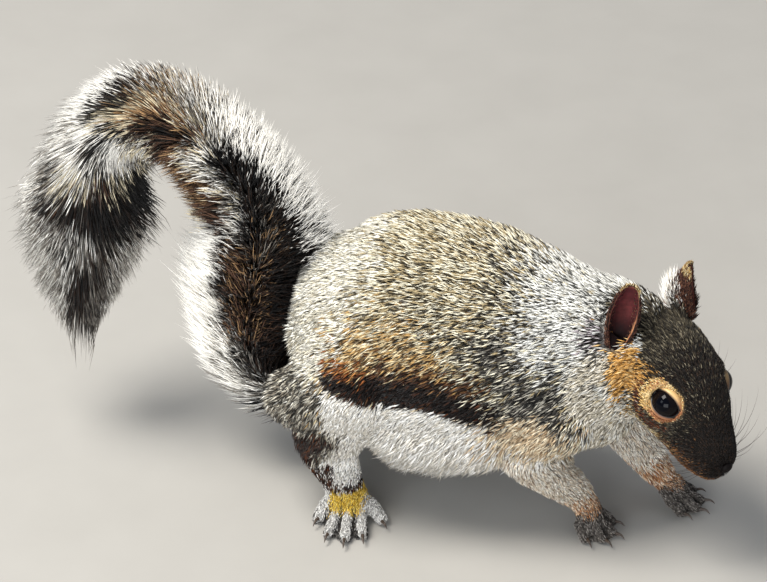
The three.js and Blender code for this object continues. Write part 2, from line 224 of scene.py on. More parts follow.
# the foot of each ear, cut off level with the head, closes the ear's socket
for side, sign in zip(SIDES, (-1, 1)):
    stub = solid(f"ear_{side}")
    cut_at = from_head([[-56.0, 14.0 * sign, 19.0]])
    cut_way = unit([-0.05, 0.60 * sign, 0.80]) @ HEAD_AXES
    bmesh.ops.bisect_plane(stub, geom=stub.verts[:] + stub.edges[:] + stub.faces[:], clear_outer=True,
                           plane_co=metres(cut_at)[0], plane_no=cut_way)
    bmesh.ops.holes_fill(stub, edges=[e for e in stub.edges if e.is_boundary])
    bmesh.ops.recalc_face_normals(stub, faces=stub.faces)
    pour(stub, STUB_SWELL)
    stub.free()

# all of it is fused into one even net
fused_mesh = bpy.data.meshes.new("fused")
soup.to_mesh(fused_mesh)
soup.free()
fused = bpy.data.objects.new("fused", fused_mesh)
bpy.context.scene.collection.objects.link(fused)
remesh = fused.modifiers.new("Fuse", "REMESH")
remesh.mode = "VOXEL"
remesh.voxel_size = VOXEL
evaluated = fused.evaluated_get(bpy.context.evaluated_depsgraph_get())
remeshed = bpy.data.meshes.new_from_object(evaluated)
bpy.data.objects.remove(fused)

count = len(remeshed.vertices)
verts = np.empty(count * 3)
remeshed.vertices.foreach_get("co", verts)
verts = verts.reshape(-1, 3) * 1000 - SHIFT
quads = np.empty(len(remeshed.polygons) * 4, int)
remeshed.loops.foreach_get("vertex_index", quads)
quads = quads.reshape(-1, 4)

# only the outer shell is kept: pockets left between two solids are dropped
edges = np.vstack([quads[:, [i, (i + 1) % 4]] for i in range(4)])
edges = np.unique(np.sort(edges, axis=1), axis=0)
group = np.arange(count)
for _ in range(400):
    low = np.minimum(group[edges[:, 0]], group[edges[:, 1]])
    new = group.copy()
    np.minimum.at(new, edges[:, 0], low)
    np.minimum.at(new, edges[:, 1], low)
    new = new[new]
    if (new == group).all():
        break
    group = new
main = np.bincount(group).argmax()
keep = group == main
number = np.cumsum(keep) - 1
verts, quads = verts[keep], number[quads[keep[quads[:, 0]]]]
edges = number[edges[keep[edges[:, 0]]]]
count = len(verts)
degree = np.bincount(edges.ravel(), minlength=count)[:, None]


def around(values):
    """The mean of each skin vertex's neighbours."""
    total = np.empty_like(values)
    for k in range(values.shape[1]):
        total[:, k] = (np.bincount(edges[:, 0], values[edges[:, 1], k], count)
                       + np.bincount(edges[:, 1], values[edges[:, 0], k], count))
    return total / degree


def vertex_normals(points):
    """Outward normals of the skin's vertices when they stand at points."""
    a = points[quads[:, 2]] - points[quads[:, 0]]
    b = points[quads[:, 3]] - points[quads[:, 1]]
    face = np.cross(a, b)
    total = np.zeros_like(points)
    for k in range(4):
        for c in range(3):
            total[:, c] += np.bincount(quads[:, k], face[:, c], count)
    return unit(total)


outer_shell = BVHTree.FromPolygons([Vector(p) for p in verts], [tuple(q) for q in quads.tolist()])

# which solid each skin vertex belongs to
lookup = BVHTree.FromPolygons(node_verts, node_tris)
near = [lookup.find_nearest(Vector(p))[2] for p in metres(verts)]
label = np.array([tri_owner[i] for i in near])


def named(*parts):
    """Which skin vertices belong to nodes whose name starts with one of parts."""
    wanted = [i for i, n in enumerate(NAMES) if n.startswith(parts)]
    return np.isin(label, wanted)


# which of it is the tail's core, and how far along the tail each vertex stands
core_s = np.linspace(0, 1, 400)
gap = np.full(count, 1e9)
tail_s = np.zeros(count)
for share, point in zip(core_s, on_tail(core_s)[0]):
    d = np.linalg.norm(verts - point, axis=1)
    closer = d < gap
    gap[closer], tail_s[closer] = d[closer], share
is_tail = (gap < core_radius(tail_s) + 1.5) & (tail_s > 0.07)

# rounds of smoothing for each part, and the depth of its coat in mm
ROUNDS = {"trunk": 45, "neck": 45, "thigh": 40, "upperarm": 35, "shank": 22, "forearm": 16,
          "head": 9, "hindfoot": 3, "forefoot": 3, "tail": 6}
DEPTH = {"trunk": 3.9, "neck": 3.4, "thigh": 3.6, "upperarm": 2.8, "shank": 2.5, "forearm": 1.6,
         "head": 1.3, "hindfoot": 0.6, "forefoot": 0.5, "tail": 0.0}
rounds, depth = np.zeros((count, 1)), np.zeros((count, 1))
for part in ROUNDS:
    here = named(part)
    rounds[here], depth[here] = ROUNDS[part], DEPTH[part]
rounds[is_tail], depth[is_tail] = ROUNDS["tail"], 0
feet = named("hindfoot", "forefoot")
own = rounds.copy()
for _ in range(16):
    rounds, depth = around(rounds), around(depth)
rounds[feet], depth[feet] = own[feet], 0
by_ear = np.linalg.norm(mirrored(in_head(verts)) - EAR_SEAT, axis=1)
rounds = np.where((by_ear < 13)[:, None], np.maximum(rounds, 26 * step(by_ear, 13, 9)[:, None]), rounds)
MOST_ROUNDS = 62
for i in range(MOST_ROUNDS):
    verts = verts + np.where(rounds * 1.3 > i, 0.5, 0) * (around(verts) - verts)

# the coat is thinner on the muzzle and round the eyes, deeper on belly and rump
local = in_head(verts)
head = named("head")
muzzle = step(local[:, 0], -30, -6)
depth[head, 0] = depth[head, 0] * (1 - muzzle[head]) + 0.7 * muzzle[head]
mirror = mirrored(local)
eye_gap = np.linalg.norm(mirror - EYE, axis=1)
depth[head, 0] *= (0.45 + 0.55 * step(eye_gap, 7, 14))[head]
belly = step(verts[:, 2], 50, 32) * named("trunk")
depth[:, 0] += 1.5 * belly
rump = step(verts[:, 0], -14, -34) * step(verts[:, 2], 58, 78)
depth[:, 0] += 3.2 * rump * named("trunk", "thigh", "tail")
for _ in range(6):
    depth = around(depth)
normal = vertex_normals(verts)
for _ in range(8):
    normal = unit(around(normal))
verts = verts - normal * depth
for i in range(8):
    verts = verts + np.where(rounds > 10, 0.5, 0.12) * (around(verts) - verts)

# smoothing thins a limb, so the skin is moved back to its own depth under the
# solids' surface: all of it by a smoothed amount, the toes exactly
for again in range(2):
    normal = vertex_normals(verts)
    found = [outer_shell.find_nearest(Vector(p)) for p in verts]
    inside = np.array([(f[0] - Vector(p)).dot(f[1]) for f, p in zip(found, verts)])
    far = np.array([f[3] for f in found]) * np.where(inside < 0, -1, 1)
    move = np.clip(far - depth[:, 0] - 0.4, -3, 3)[:, None]
    move[is_tail] = 0
    move *= step(by_ear, 8, 13)[:, None]
    for _ in range(10):
        move = np.where(feet[:, None], move, around(move))
    verts = verts + normal * np.where(feet[:, None], move - 0.25, move)
    verts = verts + np.where(feet, 0.3, 0.2)[:, None] * (around(verts) - verts)

# the closed mouth: a crease from under the nose back along each cheek
CREASE_DEPTH, LIP_RISE = 0.9, 0.35               # mm
MOUTH = np.array([[-0.6, 0, -4.4], [-1.6, 2.6, -5.4], [-4.2, 5.2, -6.0], [-8.5, 7.8, -6.4],
                  [-12.5, 9.6, -6.9], [-15.5, 10.8, -8.0]])
PHILTRUM = np.array([[1.0, 0, -1.6], [0.2, 0, -3.0], [-0.6, 0, -4.4]])


def gap_to(points, line):
    """Distance from points to a polyline."""
    best = np.full(len(points), 1e9)
    for a, b in zip(line, line[1:]):
        t = np.clip(((points - a) @ (b - a)) / ((b - a) @ (b - a)), 0, 1)
        best = np.minimum(best, np.linalg.norm(points - a - t[:, None] * (b - a), axis=1))
    return best


local = in_head(verts)
mirror = mirrored(local)
mouth_gap = np.minimum(gap_to(mirror, MOUTH), gap_to(mirror, PHILTRUM) + 0.4)
normal = vertex_normals(verts)
near_head = head | named("neck")
crease = CREASE_DEPTH * np.exp(-(mouth_gap / 0.9) ** 2)
lip = LIP_RISE * np.exp(-((mouth_gap - 2.0) / 1.0) ** 2)
verts = verts + normal * ((lip - crease) * near_head)[:, None]

# the brow, a low fold over each eye
BROW_LEFT, BROW_RIGHT = 2.5, 1.0                 # mm
brow = np.exp(-((mirror - EYE - [0.5, 1.5, 6.2]) ** 2 / [30, 9, 3.5]).sum(1))
verts = verts + normal * (np.where(local[:, 1] > 0, BROW_LEFT, BROW_RIGHT) * brow * head)[:, None]
normal = vertex_normals(verts)


def ahead_of_shank(x, y, z):
    """How far points stand ahead of the shank's slanting middle line, in mm."""
    return x - np.where(y < 0, -30 + (z - 21) * 20 / 37, -36 + (z - 12) * 33 / 44)


# the back of each shank is filled out by the long coat that hangs there
FEATHER_DEPTH = 8.0
leg_fore = ahead_of_shank(verts[:, 0], verts[:, 1], np.maximum(verts[:, 2], 25))
full = (step(leg_fore, 1, -5) * step(verts[:, 2], 10, 17) * step(verts[:, 2], 62, 50)
        * named("shank", "thigh", "hindfoot") * (verts[:, 0] < -18))[:, None]
for _ in range(10):
    full = around(full)
verts[:, 0] -= FEATHER_DEPTH * full[:, 0]
normal = vertex_normals(verts)

# the toes: reach in mm and turn in degrees of each, inner toe first; then each
# foot's side, ball, way, toes, and the toes' thickness and spacing in mm
HIND_TOES = [(9, -38), (14, -14), (16, -3), (15, 8), (10, 20)]
FORE_TOES = [(7.5, -22), (10, -7), (10, 7), (7.5, 22)]
FEET = {"hindfoot_right": (-1, (-23.5, -27, 5), (0.1, -0.99, 0), HIND_TOES, 2.6, 3.7),
        "hindfoot_left": (1, (-6, 29, 4.8), (0.97, 0.22, 0), HIND_TOES, 2.6, 3.7),
        "forefoot_right": (-1, (63.5, -10.5, 4.8), (0.85, -0.52, 0), FORE_TOES, 2.1, 3.3),
        "forefoot_left": (1, (91, 12.5, 4.8), (0.99, -0.1, 0), FORE_TOES, 2.1, 3.3)}
toe_lines = {}
for name, (hand, ball_of_foot, pointing, fan, thick, spacing) in FEET.items():
    ahead = unit(pointing)
    outward_way = np.cross([0, 0, 1.0], ahead) * hand
    toe_lines[name] = []
    for i, (length, turn_deg) in enumerate(fan):
        rank = i - (len(fan) - 1) / 2
        a = math.radians(turn_deg)
        way = ahead * math.cos(a) + outward_way * math.sin(a)
        knuckle = np.array(ball_of_foot, float) + outward_way * rank * spacing - ahead * 0.9 * rank ** 2
        toe_lines[name].append((knuckle, way, length, thick))


def toe_gap(points, owner_name):
    """Sideways distance to the nearest toe's own line, and how far past the ball a point is."""
    flat = points * [1, 1, 0]
    gaps = np.stack([gap_to(flat, np.array([start, start + way * length]) * [1, 1, 0])
                     for start, way, length, _ in toe_lines[owner_name]], 1)
    ahead = (points - np.array(FEET[owner_name][1])) @ unit(FEET[owner_name][2])
    past = step(ahead, 0.5, 4.5) if owner_name.startswith("hind") else step(ahead, -2.5, 2.5)
    return gaps, past


TOE_CLEFT = 2.6                                  # depth between two toes, in mm
for name in FEET:
    here = np.flatnonzero(named(name))
    gaps, past = toe_gap(verts[here], name)
    cleft = step(gaps.min(1), 1.15, 1.85) * past * step(verts[here, 2], 0.8, 2.0)
    verts[here, 2] -= TOE_CLEFT * cleft
    verts[here, 2] = np.maximum(verts[here, 2], 0.3)

# the lie of the coat: back from the nose, down the flanks, out to the toes
x, y, z = verts.T
lie = np.zeros((count, 3))
lie[:] = [-1, 0, -0.25]
flank = step(z, 108, 70)
rear = step(x, 25, -35)
body = named("trunk", "neck")
down = -0.12 - 0.35 * flank - 0.65 * rear * step(z, 118, 80)
lie[body] = np.stack([-np.ones(count), np.zeros(count), down], 1)[body]
belly_part = step(z, 62, 48)
lie[body] += np.outer(belly_part, [0.1, 0, -0.9])[body]
thigh = named("thigh")
rearwards, down = -0.75 + 0.4 * step(z, 80, 45), -0.55 - 0.5 * step(z, 85, 45)
lie[thigh] = np.stack([rearwards, np.zeros(count), down], 1)[thigh]
for name, way in {
        "shank_right": [-0.35, 0.1, -1], "shank_left": [-0.55, 0, -1],
        "hindfoot_right": [0.1, -1.0, -0.35], "hindfoot_left": [0.97, 0.22, -0.3],
        "upperarm": [-0.6, 0, -0.8],
        "forearm_right": [0.55, 0.35, -0.85], "forearm_left": [0.7, -0.3, -0.85],
        "forefoot_right": [0.85, -0.52, -0.3], "forefoot_left": [0.99, -0.1, -0.3]}.items():
    lie[named(name)] = way
for name, toes in toe_lines.items():
    here = np.flatnonzero(named(name))
    gaps, past = toe_gap(verts[here], name)
    ways = np.array([toe_way for _, toe_way, _, _ in toes])[gaps.argmin(1)]
    past = past[:, None]
    lie[here] = lie[here] * (1 - past) + (ways + [0, 0, -0.25]) * past
spread = np.stack([-np.ones(count), 0.25 * np.sign(local[:, 1]) * step(np.abs(local[:, 1]), 0, 10),
                   -0.15 - 0.35 * step(local[:, 2], 8, -8)], 1)
lie[head] = (spread @ HEAD_AXES)[head]
_, tail_along, _, _, _ = on_tail(tail_s)
lie[is_tail] = tail_along[is_tail]
lie = unit(lie - (lie * normal).sum(1)[:, None] * normal)
for i in range(22):
    soft = around(lie)
    soft = np.where(feet[:, None] & (i > 2), lie, soft)
    lie = unit(soft - (soft * normal).sum(1)[:, None] * normal)


def colour(hex_code):
    """An sRGB hex colour as linear red, green and blue."""
    c = np.array([int(hex_code[i:i + 2], 16) for i in (1, 3, 5)]) / 255
    return np.where(c <= 0.04045, c / 12.92, ((c + 0.055) / 1.055) ** 2.4)


def patchy(points, size, seed):
    """Soft seeded patches from -1 to 1, about size millimetres across."""
    rng = np.random.default_rng(seed)
    total = np.zeros(len(points))
    for _ in range(7):
        way = unit(rng.normal(size=3)) * (2 * np.pi / (2.2 * size)) * rng.uniform(0.6, 1.5)
        total += np.sin(points @ way + rng.uniform(0, 6.28))
    return total / 3.2


# the markings, some with painted shade or light in them: each zone of the coat has a dark,
# a middle and a pale hair, and the share of each; skin and coat both read them
ZONES = {
    "back":     ("#1c1710", 0.23, "#ad9c78", 0.33, "#efe9d2", 0.44),
    "haunch":   ("#241a10", 0.20, "#b8945e", 0.42, "#f0deb4", 0.38),
    "frost":    ("#a39b86", 0.10, "#ded7c3", 0.34, "#f8f5ea", 0.56),
    "silver":   ("#3a3a39", 0.14, "#c2c1ba", 0.31, "#f0efe9", 0.55),
    "charcoal": ("#121212", 0.46, "#5e5952", 0.31, "#c4bfb1", 0.23),
    "flank":    ("#1a0f08", 0.48, "#5e3d24", 0.36, "#946e45", 0.16),
    "rufous":   ("#4a2410", 0.30, "#93572c", 0.42, "#bf854c", 0.28),
    # near-black painted shadow, for the fold under the flank and the crease at each ear's foot
    "painted_shadow":    ("#0b0706", 0.66, "#1c100a", 0.27, "#3c2010", 0.07),
    "belly":    ("#d9d2c4", 0.12, "#f1ece2", 0.38, "#fdfbf6", 0.50),
    "shank":    ("#1c1b18", 0.40, "#7d7466", 0.30, "#cbc5b6", 0.30),
    "hock":     ("#140a06", 0.55, "#40200f", 0.33, "#6f3f22", 0.12),
    "band":     ("#b08a2a", 0.20, "#dcb641", 0.45, "#efd674", 0.35),
    "foot":     ("#8c8a86", 0.15, "#cfccc6", 0.40, "#f2f0ec", 0.45),
    "elbow":    ("#9a7f5e", 0.14, "#d3ba98", 0.42, "#f5e8cc", 0.44),
    # forearm and wrist: pale coats of their own, painted lighter still as light falling on the fore
    # legs
    "forearm":  ("#97826e", 0.14, "#e2d3bd", 0.38, "#fcf7ec", 0.48),
    "wrist":    ("#7a4a30", 0.22, "#c08a5e", 0.43, "#ecd0ae", 0.35),
    "paw":      ("#2b2724", 0.35, "#6c655e", 0.40, "#a8a199", 0.25),
    # the chest's own pale coat, darkened as painted shade under the neck
    "chest":    ("#6f6554", 0.27, "#bbb09a", 0.40, "#e8e1d0", 0.33),
    "crown":    ("#1a1611", 0.45, "#4b4436", 0.39, "#8c836e", 0.16),
    "tawny":    ("#96682c", 0.18, "#cf9d55", 0.48, "#efca8c", 0.34),
    "nape":     ("#857d6c", 0.18, "#cbc2ae", 0.38, "#efe9dc", 0.44),
    "eyering":  ("#bd9150", 0.20, "#e2bc78", 0.46, "#f7e2b0", 0.34),
    "cheek":    ("#7a5c34", 0.24, "#b5955f", 0.44, "#e0cfa4", 0.32),
    # muzzle: dark brown fur, painted darker still as shade on the front of the face
    "muzzle":   ("#0b0807", 0.60, "#1e1610", 0.31, "#402f22", 0.09),
    "earback":  ("#22110d", 0.42, "#4a2a20", 0.38, "#7c5540", 0.20),
    "chin":     ("#4a2a14", 0.33, "#84542c", 0.42, "#a87a4c", 0.25),
    "eyeline":  ("#2a1208", 0.50, "#5b2c16", 0.35, "#8a4a28", 0.15),
    "eyepink":  ("#8a4e2c", 0.26, "#bb7a4e", 0.46, "#d9a47c", 0.28),
    # painted shade in the gaps between the toes
    "cleft":    ("#2b2826", 0.50, "#4c4844", 0.35, "#7c7771", 0.15),
    "lilac":    ("#6f6466", 0.20, "#a1959a", 0.45, "#c8bfc2", 0.35),
}
ZONE_NAMES = list(ZONES)
ZONE_HAIRS = np.array([[colour(ZONES[n][k]) for k in (0, 2, 4)] for n in ZONE_NAMES])
ZONE_SHARE = np.array([[ZONES[n][k] for k in (1, 3, 5)] for n in ZONE_NAMES])


def zone_weights(points, owner):
    """How much of each zone there is at points (mm), given the node each belongs to."""
    x, y, z = points.T
    e = patchy(points, 9, 11) * 2.0              # how ragged the edges are, in mm
    w = {n: np.zeros(len(points)) for n in ZONE_NAMES}
    part = np.array([NAMES[i].split("_")[0] for i in owner])
    trunk = np.isin(part, ["trunk", "thigh", "neck", "upperarm", "tail"])

    def paint(zone, amount, where=None):
        """Lays one zone over what is already there."""
        amount = np.clip(amount, 0, 1)
        if where is not None:
            amount = amount * where
        for n in w:
            w[n] *= 1 - amount
        w[zone] += amount

    paint("back", np.ones(len(points)))
    # flanks and shoulders
    paint("haunch", step(z + e, 100, 84) * step(x + e, 30, 4) * 0.9, trunk)
    paint("charcoal", step(x + e, 12, 30) * 0.34, trunk)
    paint("silver", step(x + e, 30, 46) * step(z + 0.25 * x + e, 84, 100) * 0.9, trunk)
    paint("silver", step(x + e, 54, 66) * 0.8, trunk)
    paint("flank", step(z + e, 86, 73) * step(x + e, 34, 20) * step(x, -22, -8) * 0.92, trunk)
    paint("charcoal", step(z + e, 86, 72) * step(x + e, 26, 38) * step(x, 62, 52) * 0.92, trunk)
    paint("charcoal", np.exp(-((x + e - 31) / 7) ** 2 - ((z - 86) / 9) ** 2) * 0.8, trunk)
    paint("charcoal", np.exp(-((x + e - 8) / 9) ** 2 - ((z + e - 92) / 6) ** 2) * 0.4, trunk)
    # the rump and the root of the tail are frosted cream-white
    line = np.interp(z, [40, 66, 84, 98, 112, 122], [-33, -29, -23, -18, -14, -20])
    paint("frost", step(x + 1.6 * e, line + 9, line - 9), trunk)
    # the white belly, and the brown edge of the flank that hangs over it, painted darker as shade where
    # it turns under
    low = np.interp(x, [-60, -30, -20, -7, 4, 13, 21, 27, 40, 60],
                    [64, 69.5, 68.3, 65.6, 66, 65.3, 62.8, 61.5, 55, 52])
    # the flank's lowest band: its own dark red-brown hair, darkened further as painted shade under the
    # overhang
    dark_edge_and_shade = step(z + 0.5 * e, low + 11, low + 3)
    paint("hock", dark_edge_and_shade * step(x, -30, -22) * step(x + e, 34, 24) * 0.8, trunk)
    paint("rufous", np.exp(-((x + 20) / 6) ** 2 - ((z - low - 7) / 2.8) ** 2) * 0.85, trunk)
    # a near-black painted shadow in the fold under that edge
    band_half = np.interp(x, [-30, -14, 2, 36], [2.6, 4.0, 6.2, 5.4])
    painted_shadow = np.exp(-((z - low - 0.7 * band_half) / band_half) ** 2)
    paint("painted_shadow", painted_shadow * step(x, -29, -25) * step(x, 40, 28) * 0.95, trunk)
    paint("belly", step(z + 0.3 * e, low - 0.5, low - 3.0) * step(x, -32, -27), trunk)
    behind = np.isin(part, ["thigh", "shank", "trunk"])
    paint("shank", step(x + 0.6 * e, -27, -30) * step(z + e, 74, 62) * 0.9, behind)
    paint("belly", step(z, 62, 50) * step(np.abs(y), 24, 14), part == "trunk")
    # the chest's pale coat, painted darker as shade on the underside
    paint("chest", step(x, 44, 54) * step(z + e, 58, 46), trunk)
    # hind legs: white in front, ticked grey behind, a dark strip down the back
    shank = part == "shank"
    hind = part == "hindfoot"
    right = y < 0
    fore = ahead_of_shank(x, y, z)
    paint("belly", np.ones(len(x)), shank)
    paint("shank", step(fore + 0.4 * e, -4.5, -7.5), shank)
    paint("hock", step(fore + 0.3 * e, -8.5, -10.5) * step(z, 48, 38) * np.where(right, 1, 0.25), shank)
    paint("foot", np.ones(len(x)), hind)
    paint("belly", step(z, 13.2, 14.8), hind)
    ahead_of_ball = np.where(right, (x + 23.5) * 0.1 - (y + 27) * 0.99,
                             (x + 6) * 0.97 + (y - 29) * 0.22)
    beside_ball = np.abs((y - 29) * 0.97 - (x + 6) * 0.22)
    paint("hock", np.exp(-((z - 13.8) / 1.5) ** 2) * 0.8, hind)
    band_right = step(x, -17.5, -20) * step(x, -31.5, -29.5)
    band_left = 0.8 * step(ahead_of_ball, -9, -6) * step(beside_ball, 6.0, 4.6)
    band = step(ahead_of_ball, 4.8, 3.2) * step(z, 13.2, 12.2) * np.where(right, band_right, band_left)
    paint("band", band, hind)
    paint("hock", step(x, -29.5, -31) * step(z, 12, 15) * 0.8, hind & right)
    # painted shade darkens the gaps between the toes
    for foot_name in FEET:
        mine = owner == NAMES.index(foot_name)
        if mine.any():
            gaps, past = toe_gap(points[mine], foot_name)
            amount = np.zeros(len(x))
            amount[mine] = step(gaps.min(1), 1.2, 1.75) * past
            paint("cleft", amount * 0.9)
    # fore legs
    elbow = np.exp(-(((x - 44) / 13) ** 2 + ((z - 55) / 9) ** 2)) * step(z, 68, 60) * 1.3
    paint("elbow", elbow, trunk & (np.abs(y) > 16))
    # the fore legs' coat is painted lighter than its own colour, as painted light
    arm = part == "forearm"
    paint("forearm", np.ones(len(x)), arm)
    paint("wrist", step(z + e, 22, 14) * 0.8, arm)
    fore_foot = part == "forefoot"
    paint("paw", np.ones(len(x)), fore_foot)
    paint("wrist", step(z, 8, 12) * 0.7, fore_foot)
    # the head, painted in its own frame
    h = in_head(points)
    hx, hy, hz = h[:, 0], np.abs(h[:, 1]), h[:, 2]
    hm = np.stack([hx, hy, hz], 1)
    n = 0.6 * patchy(points, 4, 5)
    face = np.isin(part, ["head", "neck", "trunk"]) & (hx > -68) & (hy < 34) & (np.abs(hz) < 30)
    on_head = part == "head"
    paint("crown", np.ones(len(x)), on_head)
    paint("nape", step(hz + n, 5, -2) * step(hx + n, -32, -42) * step(hy, 12, 17), face)
    below_ear = np.exp(-(((hx + 50) / 5.5) ** 2 + ((hz - 7) / 6.5) ** 2))
    paint("nape", below_ear * step(hy, 17, 22) * 1.2, face)
    paint("nape", step(hz + n, -4, -8) * step(hx, -20, -28), on_head)
    paint("cheek", step(hz + n, 0, -4) * step(hx, -10, -18) * step(hx, -40, -34) * 0.7, on_head)
    before_ear = np.clip(1.6 * np.exp(-(((hx + 44.5) / 8.2) ** 2 + ((hz - 11) / 8.6) ** 2)), 0, 1)
    paint("tawny", before_ear * step(hy + n, 12, 14.5) * step(hy + n, 24.2, 22.0), face)
    paint("crown", step(hz + n, 15.0, 17.5) * step(hy, 15.5, 12.5), face & (hx > -56))
    behind_ears = 0.8 * step(hx + n, -76, -64) * step(hy, 19, 13) * step(hz, 8, 13)
    paint("crown", behind_ears, face & (hx <= -56))
    ear_foot = np.exp(-(((hx + 58) / 4.5) ** 2 + ((hz - 16.5) / 4.5) ** 2))
    paint("lilac", ear_foot * step(hy, 21, 24), face)
    # a painted shadow in the crease at the foot of the ear
    ear_foot_shadow = np.exp(-(((hx + 58.5) / 2.4) ** 2 + ((hz - 15) / 3.5) ** 2))
    paint("painted_shadow", ear_foot_shadow * step(hy, 22, 25) * 0.8, face)
    # the muzzle and the bridge of the nose: dark fur, painted darker as shade
    dark_bridge_and_shade = 0.85 * step(hx + n, -50, -30) * step(hz, 8, 12)
    paint("muzzle", np.maximum(step(hx + n, -26, -13), dark_bridge_and_shade) * step(hz, -9, -5), on_head)
    whisker_pad = np.exp(-(((hx + 14) / 7) ** 2 + ((hz + 3.5) / 3.2) ** 2))
    paint("chin", whisker_pad * step(hy, 4, 7) * 0.45, on_head)
    jaw = np.clip(1.4 * np.exp(-(((hx + 33) / 6.5) ** 2 + ((hz + 9) / 4.2) ** 2)), 0, 1)
    paint("nape", jaw * step(hy, 8, 12), face)
    paint("chin", step(hz + n, -5.0, -7.0) * step(hx, -26, -18), on_head)
    # round the eye: a pale ring, pink-brown low in front, over a dark line
    way = hm - EYE
    left_axis = unit(EYE_WAY)
    across_eye = way - (way @ left_axis)[:, None] * left_axis
    off = np.linalg.norm(across_eye, axis=1)
    outside = ((way @ left_axis) > -2) & on_head
    low_front = step(across_eye[:, 0] - across_eye[:, 2], 1, 5)
    low_rear = step(-across_eye[:, 2] - 0.35 * across_eye[:, 0], 1.5, 5)
    paint("eyeline", np.exp(-((off - 9.4) / 1.1) ** 2) * low_rear * 0.85, outside)
    high_front = step(across_eye[:, 2] + 0.5 * across_eye[:, 0], 1.5, 5.5)
    ring_edge = 8.4 - 1.3 * low_front - 2.1 * high_front * (1 - low_front) + 0.45 * n
    ring_edge = ring_edge - np.where(h[:, 1] > 0, 1.4 * step(across_eye[:, 2], 0, 3), 0)
    in_ring = step(off, ring_edge + 0.5, ring_edge - 0.5)
    paint("eyering", in_ring, outside)
    pink = np.clip(step(off, 8.2, 6.6) * low_front + 0.35 * step(n, 0, 0.5), 0, 1)
    paint("eyepink", pink * in_ring, outside)
    return np.stack([w[n] for n in ZONE_NAMES], 1)


def paint_vertices(piece, name, colours):
    """Stores one linear colour for each vertex of a piece."""
    layers = piece.data.color_attributes
    layer = layers.get(name) or layers.new(name, "FLOAT_COLOR", "POINT")
    layer.data.foreach_set("color", np.hstack([colours, np.ones((len(colours), 1))]).ravel())


# the skin is darker than the hair over it, as underfur in the shade is
SKIN_SHADE = 0.50
weights = zone_weights(verts, label)
skin_colour = weights @ (ZONE_HAIRS * ZONE_SHARE[:, :, None]).sum(1)
skin_colour = skin_colour / weights.sum(1)[:, None] * SKIN_SHADE
skin_colour[is_tail] = colour("#33271c")
# painted shade darkens the skin along the crease of the mouth
skin_colour *= (1 - 0.75 * np.exp(-(mouth_gap / 0.7) ** 2) * near_head)[:, None]

skin = mesh_piece("skin", verts, quads)
paint_vertices(skin, "MarkingsAndShade", skin_colour)


def node(tree, kind, links=(), **settings):
    """Adds a node, sets its settings and inputs by name, and links its inputs from sockets."""
    made = tree.nodes.new(kind)
    for key, value in settings.items():
        if key.startswith("in_"):
            socket = int(key[3:]) if key[3:].isdigit() else key[3:].replace("_", " ")
            made.inputs[socket].default_value = value
        else:
            setattr(made, key, value)
    for socket, source in links:
        tree.links.new(source, made.inputs[socket])
    return made


def material(name):
    """A new material with an empty node tree and its output."""
    made = bpy.data.materials.new(name)
    made.use_nodes = True
    made.node_tree.nodes.clear()
    return made, made.node_tree, made.node_tree.nodes.new("ShaderNodeOutputMaterial")


# Hide with short underfur: matt, mottled at 1.1 mm and finer (900 to a metre)
# by the fine hairs that lie on it, with a shallow bump of the same mottle.
hide, tree, end = material("hide_with_underfur")
coords = node(tree, "ShaderNodeTexCoord")
streak = node(tree, "ShaderNodeTexNoise", [("Vector", coords.outputs["Object"])],
              in_Scale=900.0, in_Detail=3.0)
paint_in = node(tree, "ShaderNodeAttribute", attribute_name="MarkingsAndShade")
ramp = node(tree, "ShaderNodeMapRange", [("Value", streak.outputs["Fac"])],
            in_From_Min=0.3, in_From_Max=0.7, in_To_Min=0.6, in_To_Max=1.35)
tint = node(tree, "ShaderNodeMix", [(6, paint_in.outputs["Color"]), (7, ramp.outputs["Result"])],
            data_type="RGBA", blend_type="MULTIPLY", in_0=1.0)
bump = node(tree, "ShaderNodeBump", [("Height", streak.outputs["Fac"])],
            in_Strength=0.5, in_Distance=0.0004)
rough = node(tree, "ShaderNodeMapRange", [("Value", streak.outputs["Fac"])],
             in_To_Min=0.55, in_To_Max=0.9)
shader = node(tree, "ShaderNodeBsdfPrincipled",
              [("Base Color", tint.outputs[2]), ("Normal", bump.outputs["Normal"]),
               ("Roughness", rough.outputs["Result"])], in_Specular_IOR_Level=0.12)
tree.links.new(shader.outputs[0], end.inputs["Surface"])
skin.data.materials.append(hide)
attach(skin, "root")
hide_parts(*FLESH, *TAIL_NODES)

# ---------------------------------------------------------------------------
# The eyes. Wet dark globes with a brown iris so deep that it reads black,
# set in the skull to two thirds, with a thin bare lid drawn round each one.
# ---------------------------------------------------------------------------
# Cornea over a dark iris: mirror-smooth and wet, IOR of tears, flecked at
# 0.4 mm by the fibres of the iris.
cornea, tree, end = material("wet_cornea_over_dark_iris")
paint_in = node(tree, "ShaderNodeAttribute", attribute_name="Iris")
coords = node(tree, "ShaderNodeTexCoord")
fibre = node(tree, "ShaderNodeTexNoise", [("Vector", coords.outputs["Object"])],
             in_Scale=2500.0, in_Detail=2.0)
fleck = node(tree, "ShaderNodeMapRange", [("Value", fibre.outputs["Fac"])],
             in_To_Min=0.6, in_To_Max=1.4)
tint = node(tree, "ShaderNodeMix", [(6, paint_in.outputs["Color"]), (7, fleck.outputs["Result"])],
            data_type="RGBA", blend_type="MULTIPLY", in_0=1.0)
shader = node(tree, "ShaderNodeBsdfPrincipled", [("Base Color", tint.outputs[2])],
              in_Roughness=0.05, in_IOR=1.36, in_Specular_IOR_Level=0.18)
tree.links.new(shader.outputs[0], end.inputs["Surface"])

